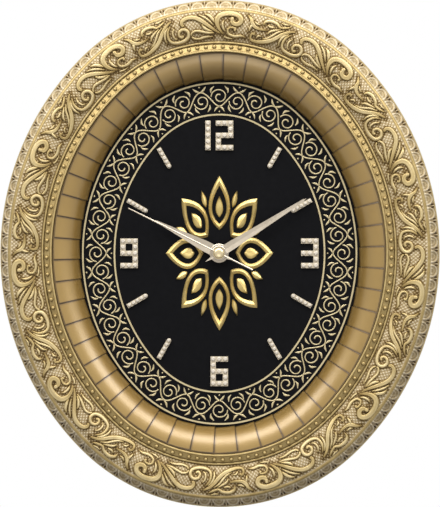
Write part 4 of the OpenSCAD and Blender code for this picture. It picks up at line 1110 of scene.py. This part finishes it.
def studio():
    """Pale floor and soft lights."""
    bpy.context.scene.view_settings.view_transform = "Standard"
    bpy.ops.mesh.primitive_plane_add(size=FLOOR_SIZE, location=(0, 0, frame_low.z - FLOOR_DROP))
    floor = bpy.context.object
    floor.name = "floor"
    pale = Finish("pale_floor", rough=0.9)
    pale.colour(pale.ramp(pale.noise(3.0), [(0.3, (232, 232, 232)), (0.7, (238, 238, 238))]))
    floor.data.materials.append(pale.material)
    surround()
    rise = math.atan2(AXIS_Z - FILL_PLACE[2], -FILL_PLACE[1])
    soft_box("fill", FILL_PLACE, math.pi / 2 + rise, 0, FILL_SIZE, FILL_POWER)
    tilt = math.atan2(LIGHT_FRONT, LIGHT_UP)
    for degrees in LIGHT_ARC:
        lean = math.radians(degrees)
        place = (LIGHT_UP * math.sin(lean), -LIGHT_FRONT, AXIS_Z + LIGHT_UP * math.cos(lean))
        soft_box(f"soft_box_{degrees}", place, tilt, lean, LIGHT_SIZE, LIGHT_POWER)


def camera():
    """Camera at the photograph's angle, framed so that the outline fills the picture."""
    data = bpy.data.cameras.new("camera")
    obj = bpy.data.objects.new("camera", data)
    azimuth = math.radians(CAMERA_AZIMUTH)
    elevation = math.radians(CAMERA_ELEVATION)
    level = math.cos(elevation)
    away = Vector((math.sin(azimuth) * level, -math.cos(azimuth) * level, math.sin(elevation)))
    obj.location = Vector((0, -CAMERA_AIM_H * MM, AXIS_Z)) + away * CAMERA_DISTANCE
    obj.rotation_euler = (-away).to_track_quat("-Z", "Y").to_euler()
    bpy.context.scene.collection.objects.link(obj)
    bpy.context.scene.camera = obj
    bpy.context.view_layer.update()
    shares = np.linspace(0, 1, 360, endpoint=False)
    rings = ((SIDE_DRAFT, 0), (0, SIDE_H), (0, RIM_TOP_H))
    outline = np.vstack([on_oval(shares, inset, h, 0) for inset, h in rings])
    turn = np.array(obj.matrix_world.to_3x3())
    seen = (outline - np.array(obj.location)) @ turn
    across = seen[:, 0] / -seen[:, 2]
    up = seen[:, 1] / -seen[:, 2]
    height = max(np.ptp(up), np.ptp(across) * PICTURE_H / PICTURE_W)
    data.sensor_fit = "VERTICAL"
    data.sensor_height = SENSOR_H
    data.lens = data.sensor_height / height
    data.shift_x = (across.max() + across.min()) / 2 / height
    data.shift_y = (up.max() + up.min()) / 2 / height


dress_cad_nodes()
frame_moulding()
frame_field()
frame_scrolls()
frame_scallops()
frame_beads()
cove_ring()
dial_vine()
centre_ornament()
rhinestones()
for lance in LANCES:
    lance_hand(*lance)
second_hand()
centre_cap()
studio()
camera()
bpy.context.view_layer.update()
